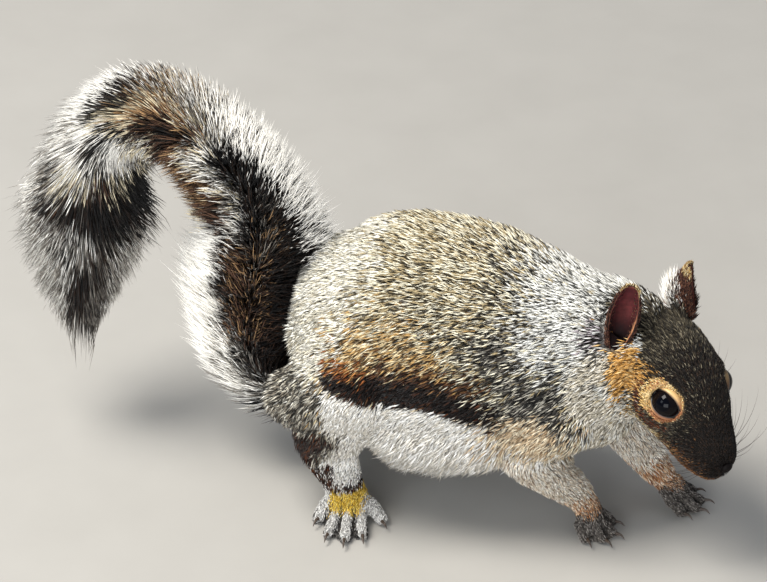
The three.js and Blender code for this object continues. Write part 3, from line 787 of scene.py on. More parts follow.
# Bare lid skin: thin, dark and slightly oily at its edge, tan to pink-brown
# outside, with pores of 0.33 mm, drawn coarse enough to show.
lid_skin, tree, end = material("bare_lid_skin")
paint_in = node(tree, "ShaderNodeAttribute", attribute_name="Lid")
coords = node(tree, "ShaderNodeTexCoord")
pore = node(tree, "ShaderNodeTexNoise", [("Vector", coords.outputs["Object"])],
            in_Scale=3000.0, in_Detail=2.0)
fleck = node(tree, "ShaderNodeMapRange", [("Value", pore.outputs["Fac"])],
             in_To_Min=0.75, in_To_Max=1.25)
tint = node(tree, "ShaderNodeMix", [(6, paint_in.outputs["Color"]), (7, fleck.outputs["Result"])],
            data_type="RGBA", blend_type="MULTIPLY", in_0=1.0)
bump = node(tree, "ShaderNodeBump", [("Height", pore.outputs["Fac"])],
            in_Strength=0.4, in_Distance=0.0001)
shader = node(tree, "ShaderNodeBsdfPrincipled",
              [("Base Color", tint.outputs[2]), ("Normal", bump.outputs["Normal"])], in_Roughness=0.42)
tree.links.new(shader.outputs[0], end.inputs["Surface"])


def lathe(rings, spokes):
    """Faces between rings of points, each ring closed on itself."""
    faces = []
    for i in range(rings - 1):
        for j in range(spokes):
            k = (j + 1) % spokes
            faces.append((i * spokes + j, i * spokes + k, (i + 1) * spokes + k, (i + 1) * spokes + j))
    return faces


def outward(piece):
    """Merges doubles and turns every face of a closed piece outwards."""
    bm = bmesh.new()
    bm.from_mesh(piece.data)
    bmesh.ops.remove_doubles(bm, verts=bm.verts, dist=1e-7)
    bmesh.ops.recalc_face_normals(bm, faces=bm.faces)
    bm.to_mesh(piece.data)
    bm.free()


BALL_RINGS, BALL_SPOKES, LID_SPOKES = 40, 48, 72
for side, sign in zip(SIDES, (-1, 1)):
    centre = EYE * [1, sign, 1]
    axis = unit(np.array(EYE_WAY) * [1, sign, 1])
    level = unit(np.cross([0, 0, 1.0], axis))
    rise = np.cross(axis, level)
    theta = np.linspace(0.02, np.pi - 0.02, BALL_RINGS)
    phi = np.linspace(0, 2 * np.pi, BALL_SPOKES, endpoint=False)
    T, P = np.meshgrid(theta, phi, indexing="ij")
    rim = np.cos(P)[..., None] * level + np.sin(P)[..., None] * rise
    ball = np.cos(T)[..., None] * axis + np.sin(T)[..., None] * rim
    bulge = 1 + 0.035 * np.exp(-(T / 0.6) ** 2)
    points = from_head(centre + (ball * bulge[..., None] * (EYE_RADIUS - 0.1)).reshape(-1, 3))
    last_ring = range((BALL_RINGS - 1) * BALL_SPOKES, BALL_RINGS * BALL_SPOKES)
    faces = lathe(BALL_RINGS, BALL_SPOKES) + [tuple(range(BALL_SPOKES))[::-1], tuple(last_ring)]
    eye = mesh_piece(f"eyeball_{side}", points, faces)
    deg = np.degrees(T).ravel()[:, None]
    ring_mix = step(deg, 24, 30) * (1 - step(deg, 52, 62))
    paint_vertices(eye, "Iris", colour("#020308") * (1 - ring_mix) + colour("#0c0809") * ring_mix)
    outward(eye)
    eye.data.materials.append(cornea)
    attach(eye, "root")
    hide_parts(f"eye_{side}")

    # the lid: a soft ring, longer fore and aft, drawn to a point at each corner
    phi = np.linspace(0, 2 * np.pi, LID_SPOKES, endpoint=False)
    fore = np.abs(np.cos(phi))
    at_corner = fore ** 16
    opening = np.radians(42 + 19 * fore ** 2 + 13 * fore ** 14)
    nasal = step(-sign * np.cos(phi) - 0.6 * np.sin(phi), -0.3, 0.7)[:, None]
    # the lid's section: radians out from the opening, and mm over the globe
    profile = [(0.0, -0.35), (-0.02, 0.12), (0.03, 0.42), (0.11, 0.62), (0.26, 0.60), (0.44, 0.28),
               (0.60, -0.30), (0.50, -0.9), (0.2, -0.9)]
    rim = np.cos(phi)[:, None] * level + np.sin(phi)[:, None] * rise
    rows, shade = [], []
    for turn_in, height in profile:
        a = opening + turn_in
        way = np.cos(a)[:, None] * axis + np.sin(a)[:, None] * rim
        rows.append(centre + way * (EYE_RADIUS + height))
        pale = step(turn_in - 0.30 * at_corner, 0.01, 0.06)[:, None]
        outer_lid = colour("#d3ad74") * (1 - nasal) + colour("#a9714e") * nasal
        # painted shade: the left lid is darkened over its upper half, under the deeper brow on that
        # side
        if side == "left":
            outer_lid = outer_lid * (1 - 0.8 * step(np.sin(phi), -0.2, 0.5)[:, None])
        shade.append(colour("#0e0706") * (1 - pale) + outer_lid * pale)
    rows.append(rows[0])
    shade.append(shade[0])
    lid = mesh_piece(f"eyelid_{side}", from_head(np.vstack(rows)), lathe(len(rows), LID_SPOKES))
    paint_vertices(lid, "Lid", np.vstack(shade))
    outward(lid)
    lid.data.materials.append(lid_skin)
    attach(lid, "root")

# ---------------------------------------------------------------------------
# The nose. A small bare pad of dark skin at the tip of the muzzle, with two
# comma-shaped nostrils and a groove down the middle that runs into the lip.
# ---------------------------------------------------------------------------
PAD_RINGS, PAD_SPOKES = 44, 56
PAD_MIDDLE, PAD_HALF = np.array([-2.1, 0, 0.1]), [1.6, 2.3, 1.9]     # mm, in the head's frame
theta, phi = np.meshgrid(np.linspace(0.03, np.pi - 0.03, PAD_RINGS),
                         np.linspace(0, 2 * np.pi, PAD_SPOKES, endpoint=False), indexing="ij")
way = np.stack([np.cos(theta), np.sin(theta) * np.cos(phi), np.sin(theta) * np.sin(phi)], -1)
way = way.reshape(-1, 3)
size = np.ones(len(way))
for sign in (-1, 1):
    d = way - unit([0.80, 0.50 * sign, -0.10])
    size -= 0.42 * np.exp(-((d[:, 0] / 0.5) ** 2 + (d[:, 1] / 0.17) ** 2 + (d[:, 2] / 0.20) ** 2))
    d = way - unit([0.60, 0.78 * sign, -0.02])
    size -= 0.22 * np.exp(-((d[:, 0] / 0.3) ** 2 + (d[:, 1] / 0.2) ** 2 + (d[:, 2] / 0.10) ** 2))
size -= 0.14 * np.exp(-(way[:, 1] / 0.07) ** 2) * step(way[:, 0], 0, 0.5) * step(way[:, 2], 0.3, -0.3)
pad = PAD_MIDDLE + way * size[:, None] * PAD_HALF
last_ring = range((PAD_RINGS - 1) * PAD_SPOKES, PAD_RINGS * PAD_SPOKES)
faces = lathe(PAD_RINGS, PAD_SPOKES) + [tuple(range(PAD_SPOKES))[::-1], tuple(last_ring)]
nose = mesh_piece("nose_pad", from_head(pad), faces)
outward(nose)
# Bare nose skin: moist, pebbled at 0.25 mm (4000 to a metre), almost black.
pad_skin, tree, end = material("bare_nose_skin")
coords = node(tree, "ShaderNodeTexCoord")
pebble = node(tree, "ShaderNodeTexVoronoi", [("Vector", coords.outputs["Object"])], in_Scale=4000.0)
ramp = node(tree, "ShaderNodeMapRange", [("Value", pebble.outputs["Distance"])], in_From_Max=0.6)
tint = node(tree, "ShaderNodeMix", [(0, ramp.outputs["Result"])],
            data_type="RGBA", in_6=(*colour("#120c0b"), 1), in_7=(*colour("#080505"), 1))
bump = node(tree, "ShaderNodeBump", [("Height", pebble.outputs["Distance"])],
            in_Strength=0.6, in_Distance=0.0001, invert=True)
shader = node(tree, "ShaderNodeBsdfPrincipled",
              [("Base Color", tint.outputs[2]), ("Normal", bump.outputs["Normal"])], in_Roughness=0.55,
              in_Specular_IOR_Level=0.1)
tree.links.new(shader.outputs[0], end.inputs["Surface"])
nose.data.materials.append(pad_skin)
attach(nose, "root")
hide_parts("nose")

# ---------------------------------------------------------------------------
# The ears. Thin leaves of cartilage, cupped towards the front and outside,
# bare and maroon inside, painted darker towards the foot as shade and lighter
# mid-cup as a painted highlight, with a brown rim that is paler low down in
# front; fur covers their backs.
# ---------------------------------------------------------------------------
# foot, tip and the way the cup faces, in the head's frame
EARS = {"right": ([-53.6, -19.8, 10.8], [-64.0, -16.2, 33.2], [0.66, -0.70, 0.28]),
        "left": ([-54.5, 15.0, 13.0], [-63.6, 10.6, 32.9], [0.66, 0.70, 0.27])}
EAR_WALL = 0.9                                   # mm
EAR_ROWS, EAR_COLS = 46, 34
ARC_AT = [0, 0.15, 0.35, 0.55, 0.75, 0.87, 0.94, 0.98, 1]
ARC = {"right": [5.6, 6.9, 7.4, 7.0, 5.6, 4.2, 3.3, 2.3, 1.1],       # half the leaf's girth in mm
       "left": [5.6, 6.9, 7.6, 7.5, 6.7, 5.4, 4.2, 2.9, 1.3]}

# Ear skin: thin and warm, maroon in the cup and painted near-black deep in it
# as shade, mottled at 1.4 mm by veins, and soft enough to let a little light into it.
ear_skin, tree, end = material("bare_ear_skin")
paint_in = node(tree, "ShaderNodeAttribute", attribute_name="EarTintAndShade")
coords = node(tree, "ShaderNodeTexCoord")
vein = node(tree, "ShaderNodeTexNoise", [("Vector", coords.outputs["Object"])],
            in_Scale=700.0, in_Detail=4.0)
fleck = node(tree, "ShaderNodeMapRange", [("Value", vein.outputs["Fac"])],
             in_From_Min=0.3, in_From_Max=0.7, in_To_Min=0.7, in_To_Max=1.3)
tint = node(tree, "ShaderNodeMix", [(6, paint_in.outputs["Color"]), (7, fleck.outputs["Result"])],
            data_type="RGBA", blend_type="MULTIPLY", in_0=1.0)
bump = node(tree, "ShaderNodeBump", [("Height", vein.outputs["Fac"])],
            in_Strength=0.35, in_Distance=0.0003)
shader = node(tree, "ShaderNodeBsdfPrincipled",
              [("Base Color", tint.outputs[2]), ("Normal", bump.outputs["Normal"])], in_Roughness=0.75,
              in_Specular_IOR_Level=0.2, in_Subsurface_Weight=0.12, in_Subsurface_Scale=0.002)
tree.links.new(shader.outputs[0], end.inputs["Surface"])

ear_roots = []
local = in_head(verts)
in_bowl, before_bowl, behind_ear = np.zeros((3, count), bool)
for side, (root, tip, facing) in EARS.items():
    root, tip = np.array(root, float), np.array(tip, float)
    tall = unit(tip - root)
    facing = unit(np.array(facing) - np.dot(facing, tall) * tall)
    across = np.cross(tall, facing)
    reach = np.linalg.norm(tip - root)
    # the hide in the cup's bottom is bare, and short before and behind the ear
    high, aside, ahead = ((local - root) @ np.array([tall, across, facing]).T).T
    half = np.interp(high / reach, [0, 0.35], [3.6, 5.2])
    in_bowl |= (high > -1.5) & (np.abs(aside) < half) & (ahead > -2.4) & (ahead < 2.2)
    before_bowl |= (high > -4) & (np.abs(aside) < 5) & (ahead >= 2.4) & (ahead < 8)
    behind_ear |= (high > -2) & (high < 9) & (np.abs(aside) < 6) & (ahead > -7.5) & (ahead <= -2.4)
    # the leaf: t runs from foot to tip, u across it
    rows, cols = EAR_ROWS, EAR_COLS
    t, u = np.meshgrid(np.linspace(0, 1, rows), np.linspace(-1, 1, cols), indexing="ij")
    arc = np.interp(t, ARC_AT, ARC[side])
    curl = np.interp(t, [0, 0.15, 0.35, 0.55, 0.75, 0.9, 1], [2.5, 2.15, 1.75, 1.5, 1.3, 1.15, 1.0])
    wide = arc / curl * np.sin(curl * u)
    cup = arc / curl * (1 - np.cos(curl * u)) - 0.45 * arc / curl * (1 - np.cos(curl))
    lean = -1.2 * np.sin(np.pi * t)
    middle = root + t[..., None] * reach * tall + wide[..., None] * across
    middle = middle + (cup + lean)[..., None] * facing
    gu, gt = np.gradient(middle, axis=1), np.gradient(middle, axis=0)
    face_way = unit(np.cross(gt, gu))
    face_way *= np.sign((face_way * facing).sum(-1).mean())
    wall = EAR_WALL * (0.35 + 0.65 * (1 - np.abs(u) ** 4)) * (0.4 + 0.6 * (1 - t ** 6))
    front = (middle + face_way * wall[..., None] * 0.5).reshape(-1, 3)
    rear = (middle - face_way * wall[..., None] * 0.5).reshape(-1, 3)
    n = rows * cols
    faces = []
    for i in range(rows - 1):
        for j in range(cols - 1):
            a, b, c, d = i * cols + j, i * cols + j + 1, (i + 1) * cols + j + 1, (i + 1) * cols + j
            faces += [(a, b, c, d), (n + d, n + c, n + b, n + a)]
    border = ([j for j in range(cols)] + [i * cols + cols - 1 for i in range(1, rows)]
              + [(rows - 1) * cols + j for j in range(cols - 2, -1, -1)]
              + [i * cols for i in range(rows - 2, 0, -1)])
    for a, b in zip(border, border[1:] + border[:1]):
        faces.append((b, a, n + a, n + b))
    ear = mesh_piece(f"ear_leaf_{side}", from_head(np.vstack([front, rear])), faces)
    edge = np.maximum(np.abs(u), step(t, 0.86, 1.0)).ravel()[:, None]
    # the cup is painted darker towards its foot as shade, and lighter mid-cup as a painted highlight
    deep = step(1 - t, 0.15, 0.80).ravel()[:, None]
    inner = colour("#43161a") * (1 - deep) + colour("#110405") * deep
    painted_highlight = np.exp(-((t - 0.62) / 0.22) ** 2 - ((u - 0.15) / 0.55) ** 2).ravel()[:, None]
    inner = inner + (colour("#7a3b38") - inner) * 0.35 * painted_highlight
    forward = (u * (1 if side == "right" else -1)).ravel()[:, None]
    low_front = step(forward, 0.5, 0.9) * step(1 - t, 0.35, 0.6).ravel()[:, None]
    rim = colour("#5c3029") * (1 - low_front) + colour("#a87452") * low_front
    band = step(edge, 0.88 - 0.14 * low_front, 0.98 - 0.10 * low_front)
    inner = inner * (1 - band) + rim * band
    paint_vertices(ear, "EarTintAndShade", np.vstack([inner, np.tile(colour("#5a3a2c"), (n, 1))]))
    outward(ear)
    ear.data.materials.append(ear_skin)
    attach(ear, "root")
    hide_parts(f"ear_{side}")
    ear_roots.append((side, rear.reshape(rows, cols, 3), front.reshape(rows, cols, 3), -face_way, tall))

# the hide at the bottom of each cup is as bare as the cup, and painted near-black as shade in the ear's
# opening
skin_colour[in_bowl] = colour("#120606")
paint_vertices(skin, "MarkingsAndShade", skin_colour)

# ---------------------------------------------------------------------------
# The claws. Curved, narrow horn, clouded dark and paler brown; each grows
# out of the end of a toe and hooks down to the ground.
# ---------------------------------------------------------------------------
# Claw horn: smooth grown keratin of low gloss, clouded at 0.7 mm.
horn, tree, end = material("dark_claw_horn")
coords = node(tree, "ShaderNodeTexCoord")
line_noise = node(tree, "ShaderNodeTexNoise", [("Vector", coords.outputs["Object"])],
                  in_Scale=1500.0, in_Detail=2.0)
tint = node(tree, "ShaderNodeMix", [(0, line_noise.outputs["Fac"])],
            data_type="RGBA", in_6=(*colour("#1d1714"), 1), in_7=(*colour("#57483c"), 1))
bump = node(tree, "ShaderNodeBump", [("Height", line_noise.outputs["Fac"])],
            in_Strength=0.3, in_Distance=0.0001)
shader = node(tree, "ShaderNodeBsdfPrincipled",
              [("Base Color", tint.outputs[2]), ("Normal", bump.outputs["Normal"])], in_Roughness=0.35)
tree.links.new(shader.outputs[0], end.inputs["Surface"])

# the tree that sweeps a tapering round along every path it is given
taper = bpy.data.node_groups.new("tapering_growth", "GeometryNodeTree")
taper.interface.new_socket("Geometry", in_out="INPUT", socket_type="NodeSocketGeometry")
thick = taper.interface.new_socket("Root radius", in_out="INPUT", socket_type="NodeSocketFloat")
blunt = taper.interface.new_socket("Taper power", in_out="INPUT", socket_type="NodeSocketFloat")
sides = taper.interface.new_socket("Sides", in_out="INPUT", socket_type="NodeSocketInt")
finish = taper.interface.new_socket("Material", in_out="INPUT", socket_type="NodeSocketMaterial")
taper.interface.new_socket("Geometry", in_out="OUTPUT", socket_type="NodeSocketGeometry")
given = node(taper, "NodeGroupInput")
curves = node(taper, "GeometryNodeMeshToCurve", [("Mesh", given.outputs["Geometry"])])
where = node(taper, "GeometryNodeSplineParameter")
thin = node(taper, "ShaderNodeMath", [(1, where.outputs["Factor"])], operation="SUBTRACT", in_0=1.03)
eased = node(taper, "ShaderNodeMath", [(0, thin.outputs[0]), (1, given.outputs["Taper power"])],
             operation="POWER")
radius = node(taper, "ShaderNodeMath", [(0, eased.outputs[0]), (1, given.outputs["Root radius"])],
              operation="MULTIPLY")
ring_curve = node(taper, "GeometryNodeCurvePrimitiveCircle", [("Resolution", given.outputs["Sides"])],
                  in_Radius=1.0)
sized = node(taper, "GeometryNodeSetCurveRadius",
             [("Curve", curves.outputs["Curve"]), ("Radius", radius.outputs[0])])
swept = node(taper, "GeometryNodeCurveToMesh",
             [("Curve", sized.outputs["Curve"]), ("Profile Curve", ring_curve.outputs["Curve"])])
swept.inputs["Fill Caps"].default_value = True
if "Scale" in swept.inputs:
    taper.links.new(radius.outputs[0], swept.inputs["Scale"])
real = node(taper, "GeometryNodeRealizeInstances", [("Geometry", swept.outputs["Mesh"])])
painted = node(taper, "GeometryNodeSetMaterial",
               [("Geometry", real.outputs["Geometry"]), ("Material", given.outputs["Material"])])
node(taper, "NodeGroupOutput", [("Geometry", painted.outputs["Geometry"])])


def sweep(name, lines_mm, root_radius, power, count_sides, finish_material):
    """Sweeps a tapering round along each line of points and returns the plain mesh piece."""
    points, links = [], []
    for line in lines_mm:
        links += [(len(points) + i, len(points) + i + 1) for i in range(len(line) - 1)]
        points += [tuple(p) for p in metres(line)]
    path_mesh = bpy.data.meshes.new("paths")
    path_mesh.from_pydata(points, links, [])
    paths = bpy.data.objects.new("paths", path_mesh)
    bpy.context.scene.collection.objects.link(paths)
    modifier = paths.modifiers.new("growth", "NODES")
    modifier.node_group = taper
    inputs = ((thick, root_radius), (blunt, power), (sides, count_sides), (finish, finish_material))
    for socket, value in inputs:
        modifier[socket.identifier] = value
    result = bpy.data.meshes.new_from_object(paths.evaluated_get(bpy.context.evaluated_depsgraph_get()))
    bpy.data.objects.remove(paths)
    result.name = name
    result.polygons.foreach_set("use_smooth", np.ones(len(result.polygons), bool))
    piece = bpy.data.objects.new(name, result)
    bpy.context.scene.collection.objects.link(piece)
    outward(piece)
    return piece


CLAW_LENGTH, CLAW_HOOK = 2.9, 1.1                # mm
CLAW_ROOT, CLAW_TAPER, CLAW_SIDES = 0.00064, 0.7, 10
for name, toes in toe_lines.items():
    lines_mm = []
    for knuckle, way, length, thickness in toes:
        line = []
        for f in np.linspace(-0.25, 1.05, 12):
            drop = CLAW_HOOK * max(f, 0) ** 2.0 - 0.35 * math.sin(math.pi * min(max(f, 0), 1))
            p = knuckle + way * (length + CLAW_LENGTH * f)
            line.append((p[0], p[1], thickness * 0.86 + 1.0 - drop))
        lines_mm.append(line)
    claws = sweep("claws_" + name, lines_mm, CLAW_ROOT, CLAW_TAPER, CLAW_SIDES, horn)
    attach(claws, "root")
    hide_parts(*[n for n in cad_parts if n.startswith(name.replace("foot", "claw"))])

# ---------------------------------------------------------------------------
# The whiskers. Stiff dark bristles on each side of the muzzle, in rows, bent
# back a little; a few shorter ones stand over the eyes.
# ---------------------------------------------------------------------------
WHISKER_ROOT, WHISKER_TAPER, WHISKER_SIDES = 0.00010, 1.0, 5
rng = np.random.default_rng(21)
threads = []                                     # start, way, length and bend of each
for sign in (-1, 1):
    for row in range(4):
        for k in range(4):
            start = np.array([-5.5 - 2.1 * k, sign * (5.4 + 1.25 * k), 0.8 - 1.5 * row + 0.2 * k])
            way = unit([0.10 - 0.20 * k + rng.normal(0, 0.05), sign * 1.0,
                        0.28 - 0.24 * row + rng.normal(0, 0.05)])
            length = rng.uniform(17, 27) * (1 - 0.06 * row)
            threads.append((start, way, length, np.array([-0.34, 0, -0.14])))
    for k in range(3):
        start = EYE * [1, sign, 1] + [1.5 - 1.6 * k, -3.6 * sign, 6.0]
        threads.append((start, unit([0.1 - 0.3 * k, 0.5 * sign, 0.8]), 10.0, np.array([-0.3, 0, 0.0])))
lines_mm = [from_head([start + way * length * f + bend * length * f * f for f in np.linspace(0, 1, 12)])
            for start, way, length, bend in threads]

# Whisker: a tapered keratin bristle, dark brown with a sheen along it.
bristle, tree, end = material("whisker_keratin")
coords = node(tree, "ShaderNodeTexCoord")
grain = node(tree, "ShaderNodeTexNoise", [("Vector", coords.outputs["Object"])], in_Scale=800.0)
tint = node(tree, "ShaderNodeMix", [(0, grain.outputs["Fac"])],
            data_type="RGBA", in_6=(*colour("#15110e"), 1), in_7=(*colour("#3c322a"), 1))
shader = node(tree, "ShaderNodeBsdfPrincipled", [("Base Color", tint.outputs[2])], in_Roughness=0.4)
tree.links.new(shader.outputs[0], end.inputs["Surface"])

whiskers = sweep("whiskers", lines_mm, WHISKER_ROOT, WHISKER_TAPER, WHISKER_SIDES, bristle)
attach(whiskers, "root")

# ---------------------------------------------------------------------------
# The coat. Guard hairs in fine locks, each a closed sliver of horn-thin mesh:
# a root in the skin, a three-cornered waist and a point. They overlap like
# tiles and lie back and down the body; the belly's are long and loose.
# ---------------------------------------------------------------------------
COAT = {  # length mm, waist mm, lift in degrees, locks per square mm
    "trunk": (5.7, 0.62, 40, 3.05), "neck": (5.2, 0.57, 39, 3.4), "thigh": (5.6, 0.62, 39, 3.05),
    "upperarm": (5.2, 0.55, 35, 3.0), "shank": (4.8, 0.52, 32, 3.2), "forearm": (3.7, 0.44, 28, 4.0),
    "head": (3.0, 0.30, 24, 7.4), "hindfoot": (1.9, 0.34, 16, 4.6), "forefoot": (1.7, 0.32, 16, 5.2)}
x, y, z = verts.T
local = in_head(verts)
mirror = mirrored(local)
coat = np.zeros((count, 4))
for part, row in COAT.items():
    coat[named(part)] = row
# longer and looser on the belly and the back of the shank, short on the muzzle,
# longer again on the cheek
loose_fur = step(z, 60, 46) * named("trunk") * (1 - step(x, 46, 60)) * step(x, -22, 2)
coat[:, 0] += 6.0 * loose_fur
coat[:, 1] += 0.10 * loose_fur
coat[:, 2] += 4 * loose_fur
feather = step(ahead_of_shank(x, y, z), -2, -7) * named("shank") * step(z, 15, 24)
coat[:, 0] += 2.2 * feather
coat[:, 2] += 4 * feather
short = step(local[:, 0], -34, -8) * head
coat[:, 0] -= 1.5 * short
coat[:, 1] -= 0.06 * short
coat[:, 2] -= 6 * short
cheek = step(local[:, 0], -40, -56) * head
coat[:, 0] += 2.2 * cheek
for _ in range(6):
    coat = around(coat)

# hair is short round the eyes, and the lids, mouth, nose, cups and soles are bare
from_eye, eye_way = mirror - EYE, unit(EYE_WAY)
off_axis = np.linalg.norm(from_eye - (from_eye @ eye_way)[:, None] * eye_way, axis=1)
outside_eye = (from_eye @ eye_way) > -1.5
bare = (off_axis < 5.9) & outside_eye & head
coat[:, 0] *= np.where(head & outside_eye, 0.30 + 0.70 * step(off_axis, 6.0, 11.0), 1)
coat[bare, 3] = 0
coat[(mouth_gap < 0.55) & near_head, 3] = 0
coat[np.linalg.norm(local - [0.4, 0, 0.4], axis=1) < 2.5, 3] = 0
coat[is_tail & (tail_s > 0.10), 3] = 0
coat[z < 0.9, 3] = 0
coat[in_bowl, 3] = 0
coat[before_bowl, 0] *= 0.45
coat[behind_ear, 0] *= 0.55
coat[behind_ear, 2] *= 0.2
normal = vertex_normals(verts)
for _ in range(2):
    normal = unit(around(normal))

TRI = np.vstack([quads[:, [0, 1, 2]], quads[:, [0, 2, 3]]])
corner = verts[TRI]
tri_cross = np.cross(corner[:, 1] - corner[:, 0], corner[:, 2] - corner[:, 0])
tri_area = 0.5 * np.linalg.norm(tri_cross, axis=1)
tri_locks = tri_area * coat[TRI, 3].mean(1)

# Fur: keratin hair in fine locks; a faint sheen, no clear gloss, each lock
# streaked at 0.55 mm (1800 to a metre) so that it reads as several hairs.
fur, tree, end = material("fur_guard_hair")
paint_in = node(tree, "ShaderNodeAttribute", attribute_name="Hair")
coords = node(tree, "ShaderNodeTexCoord")
strand = node(tree, "ShaderNodeTexNoise", [("Vector", coords.outputs["Object"])],
              in_Scale=1800.0, in_Detail=2.0)
fleck = node(tree, "ShaderNodeMapRange", [("Value", strand.outputs["Fac"])],
             in_From_Min=0.3, in_From_Max=0.7, in_To_Min=0.82, in_To_Max=1.18)
tint = node(tree, "ShaderNodeMix", [(6, paint_in.outputs["Color"]), (7, fleck.outputs["Result"])],
            data_type="RGBA", blend_type="MULTIPLY", in_0=1.0)
rough = node(tree, "ShaderNodeMapRange", [("Value", strand.outputs["Fac"])],
             in_To_Min=0.45, in_To_Max=0.75)
shader = node(tree, "ShaderNodeBsdfPrincipled",
              [("Base Color", tint.outputs[2]), ("Roughness", rough.outputs["Result"])],
              in_Specular_IOR_Level=0.18, in_Sheen_Weight=0.05, in_Sheen_Roughness=0.4)
tree.links.new(shader.outputs[0], end.inputs["Surface"])


PATCH = 0.003


def locks(name, stations, widths, tints, place):
    """One coat piece. stations (n, k, 3) are the points along each lock in mm
    from root to tip, widths (n, k-2) the waists, tints (n, k, 3) the colours
    and place (n, 2) the root's place on the unwrap, where a patch of PATCH
    across takes each lock's colours."""
    n, k = stations.shape[:2]
    rings = k - 2
    spin = np.random.default_rng(len(name) + n).uniform(0, 2 * np.pi, n)
    per = 2 + 3 * rings
    pts = np.empty((n, per, 3))
    tone = np.empty((n, per, 3))
    uv = np.empty((n, per, 2))
    pts[:, 0], pts[:, -1] = stations[:, 0], stations[:, -1]
    tone[:, 0], tone[:, -1] = tints[:, 0], tints[:, -1]
    uv[:, 0], uv[:, -1] = [0, -PATCH / 2], [0, PATCH / 2]
    ref = unit(np.random.default_rng(7).normal(size=(n, 3)))
    for r in range(rings):
        way = unit(stations[:, r + 2] - stations[:, r])
        e1 = unit(np.cross(way, ref))
        e2 = np.cross(way, e1)
        for c in range(3):
            a = spin + c * 2 * np.pi / 3
            waist = (np.cos(a)[:, None] * e1 + np.sin(a)[:, None] * e2) * widths[:, r:r + 1] / 2
            pts[:, 1 + 3 * r + c] = stations[:, r + 1] + waist
            tone[:, 1 + 3 * r + c] = tints[:, r + 1]
            up_patch = -PATCH / 2 + PATCH * (r + 1) / (rings + 1)
            uv[:, 1 + 3 * r + c] = [(-0.0013, 0.0, 0.0013)[c], up_patch]
    uv += np.clip(place, PATCH, 1 - PATCH)[:, None, :]
    tris = []
    for c in range(3):
        d = (c + 1) % 3
        tris.append((0, 1 + d, 1 + c))
        for r in range(rings - 1):
            a, b = 1 + 3 * r + c, 1 + 3 * r + d
            tris += [(a, b, b + 3), (a, b + 3, a + 3)]
        tris.append((per - 1, 1 + 3 * (rings - 1) + c, 1 + 3 * (rings - 1) + d))
    tris = (np.array(tris)[None] + (np.arange(n) * per)[:, None, None]).reshape(-1, 3)
    mesh = bpy.data.meshes.new(name)
    mesh.vertices.add(n * per)
    mesh.vertices.foreach_set("co", metres(pts.reshape(-1, 3)).ravel())
    mesh.loops.add(tris.size)
    mesh.loops.foreach_set("vertex_index", tris.ravel())
    mesh.polygons.add(len(tris))
    mesh.polygons.foreach_set("loop_start", np.arange(0, tris.size, 3))
    mesh.polygons.foreach_set("use_smooth", np.ones(len(tris), bool))
    mesh.update(calc_edges=True)
    layer = mesh.color_attributes.new("Hair", "FLOAT_COLOR", "POINT")
    layer.data.foreach_set("color", np.hstack([tone.reshape(-1, 3), np.ones((n * per, 1))]).ravel())
    unwrap = mesh.uv_layers.new(name="OFBake")
    unwrap.data.foreach_set("uv", uv.reshape(-1, 2)[tris.ravel()].ravel())
    mesh.materials.append(fur)
    piece = bpy.data.objects.new(name, mesh)
    bpy.context.scene.collection.objects.link(piece)
    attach(piece, "root")
    return piece


def unwrapped(along, angle):
    """Places on a piece's own cylinder unwrap, spread over the whole square."""
    pair = np.stack([along, angle], 1)
    low, high = pair.min(0), pair.max(0)
    return 0.005 + 0.99 * (pair - low) / np.maximum(high - low, 1e-9)


def pick_hairs(weights, rng):
    """A zone and one of its three hairs for each lock, by weight and share."""
    total = np.cumsum(weights, 1)
    zone = (rng.random(len(weights))[:, None] * total[:, -1:] > total).sum(1)
    share = np.cumsum(ZONE_SHARE[zone], 1)
    kind = (rng.random(len(weights))[:, None] * share[:, -1:] > share).sum(1)
    return zone, kind


SCATTER, CLUMPING = 0.22, 0.13                   # how far locks turn alone, and together
ROOT_SHADE = 0.48                                # roots lie in the shade of their neighbours


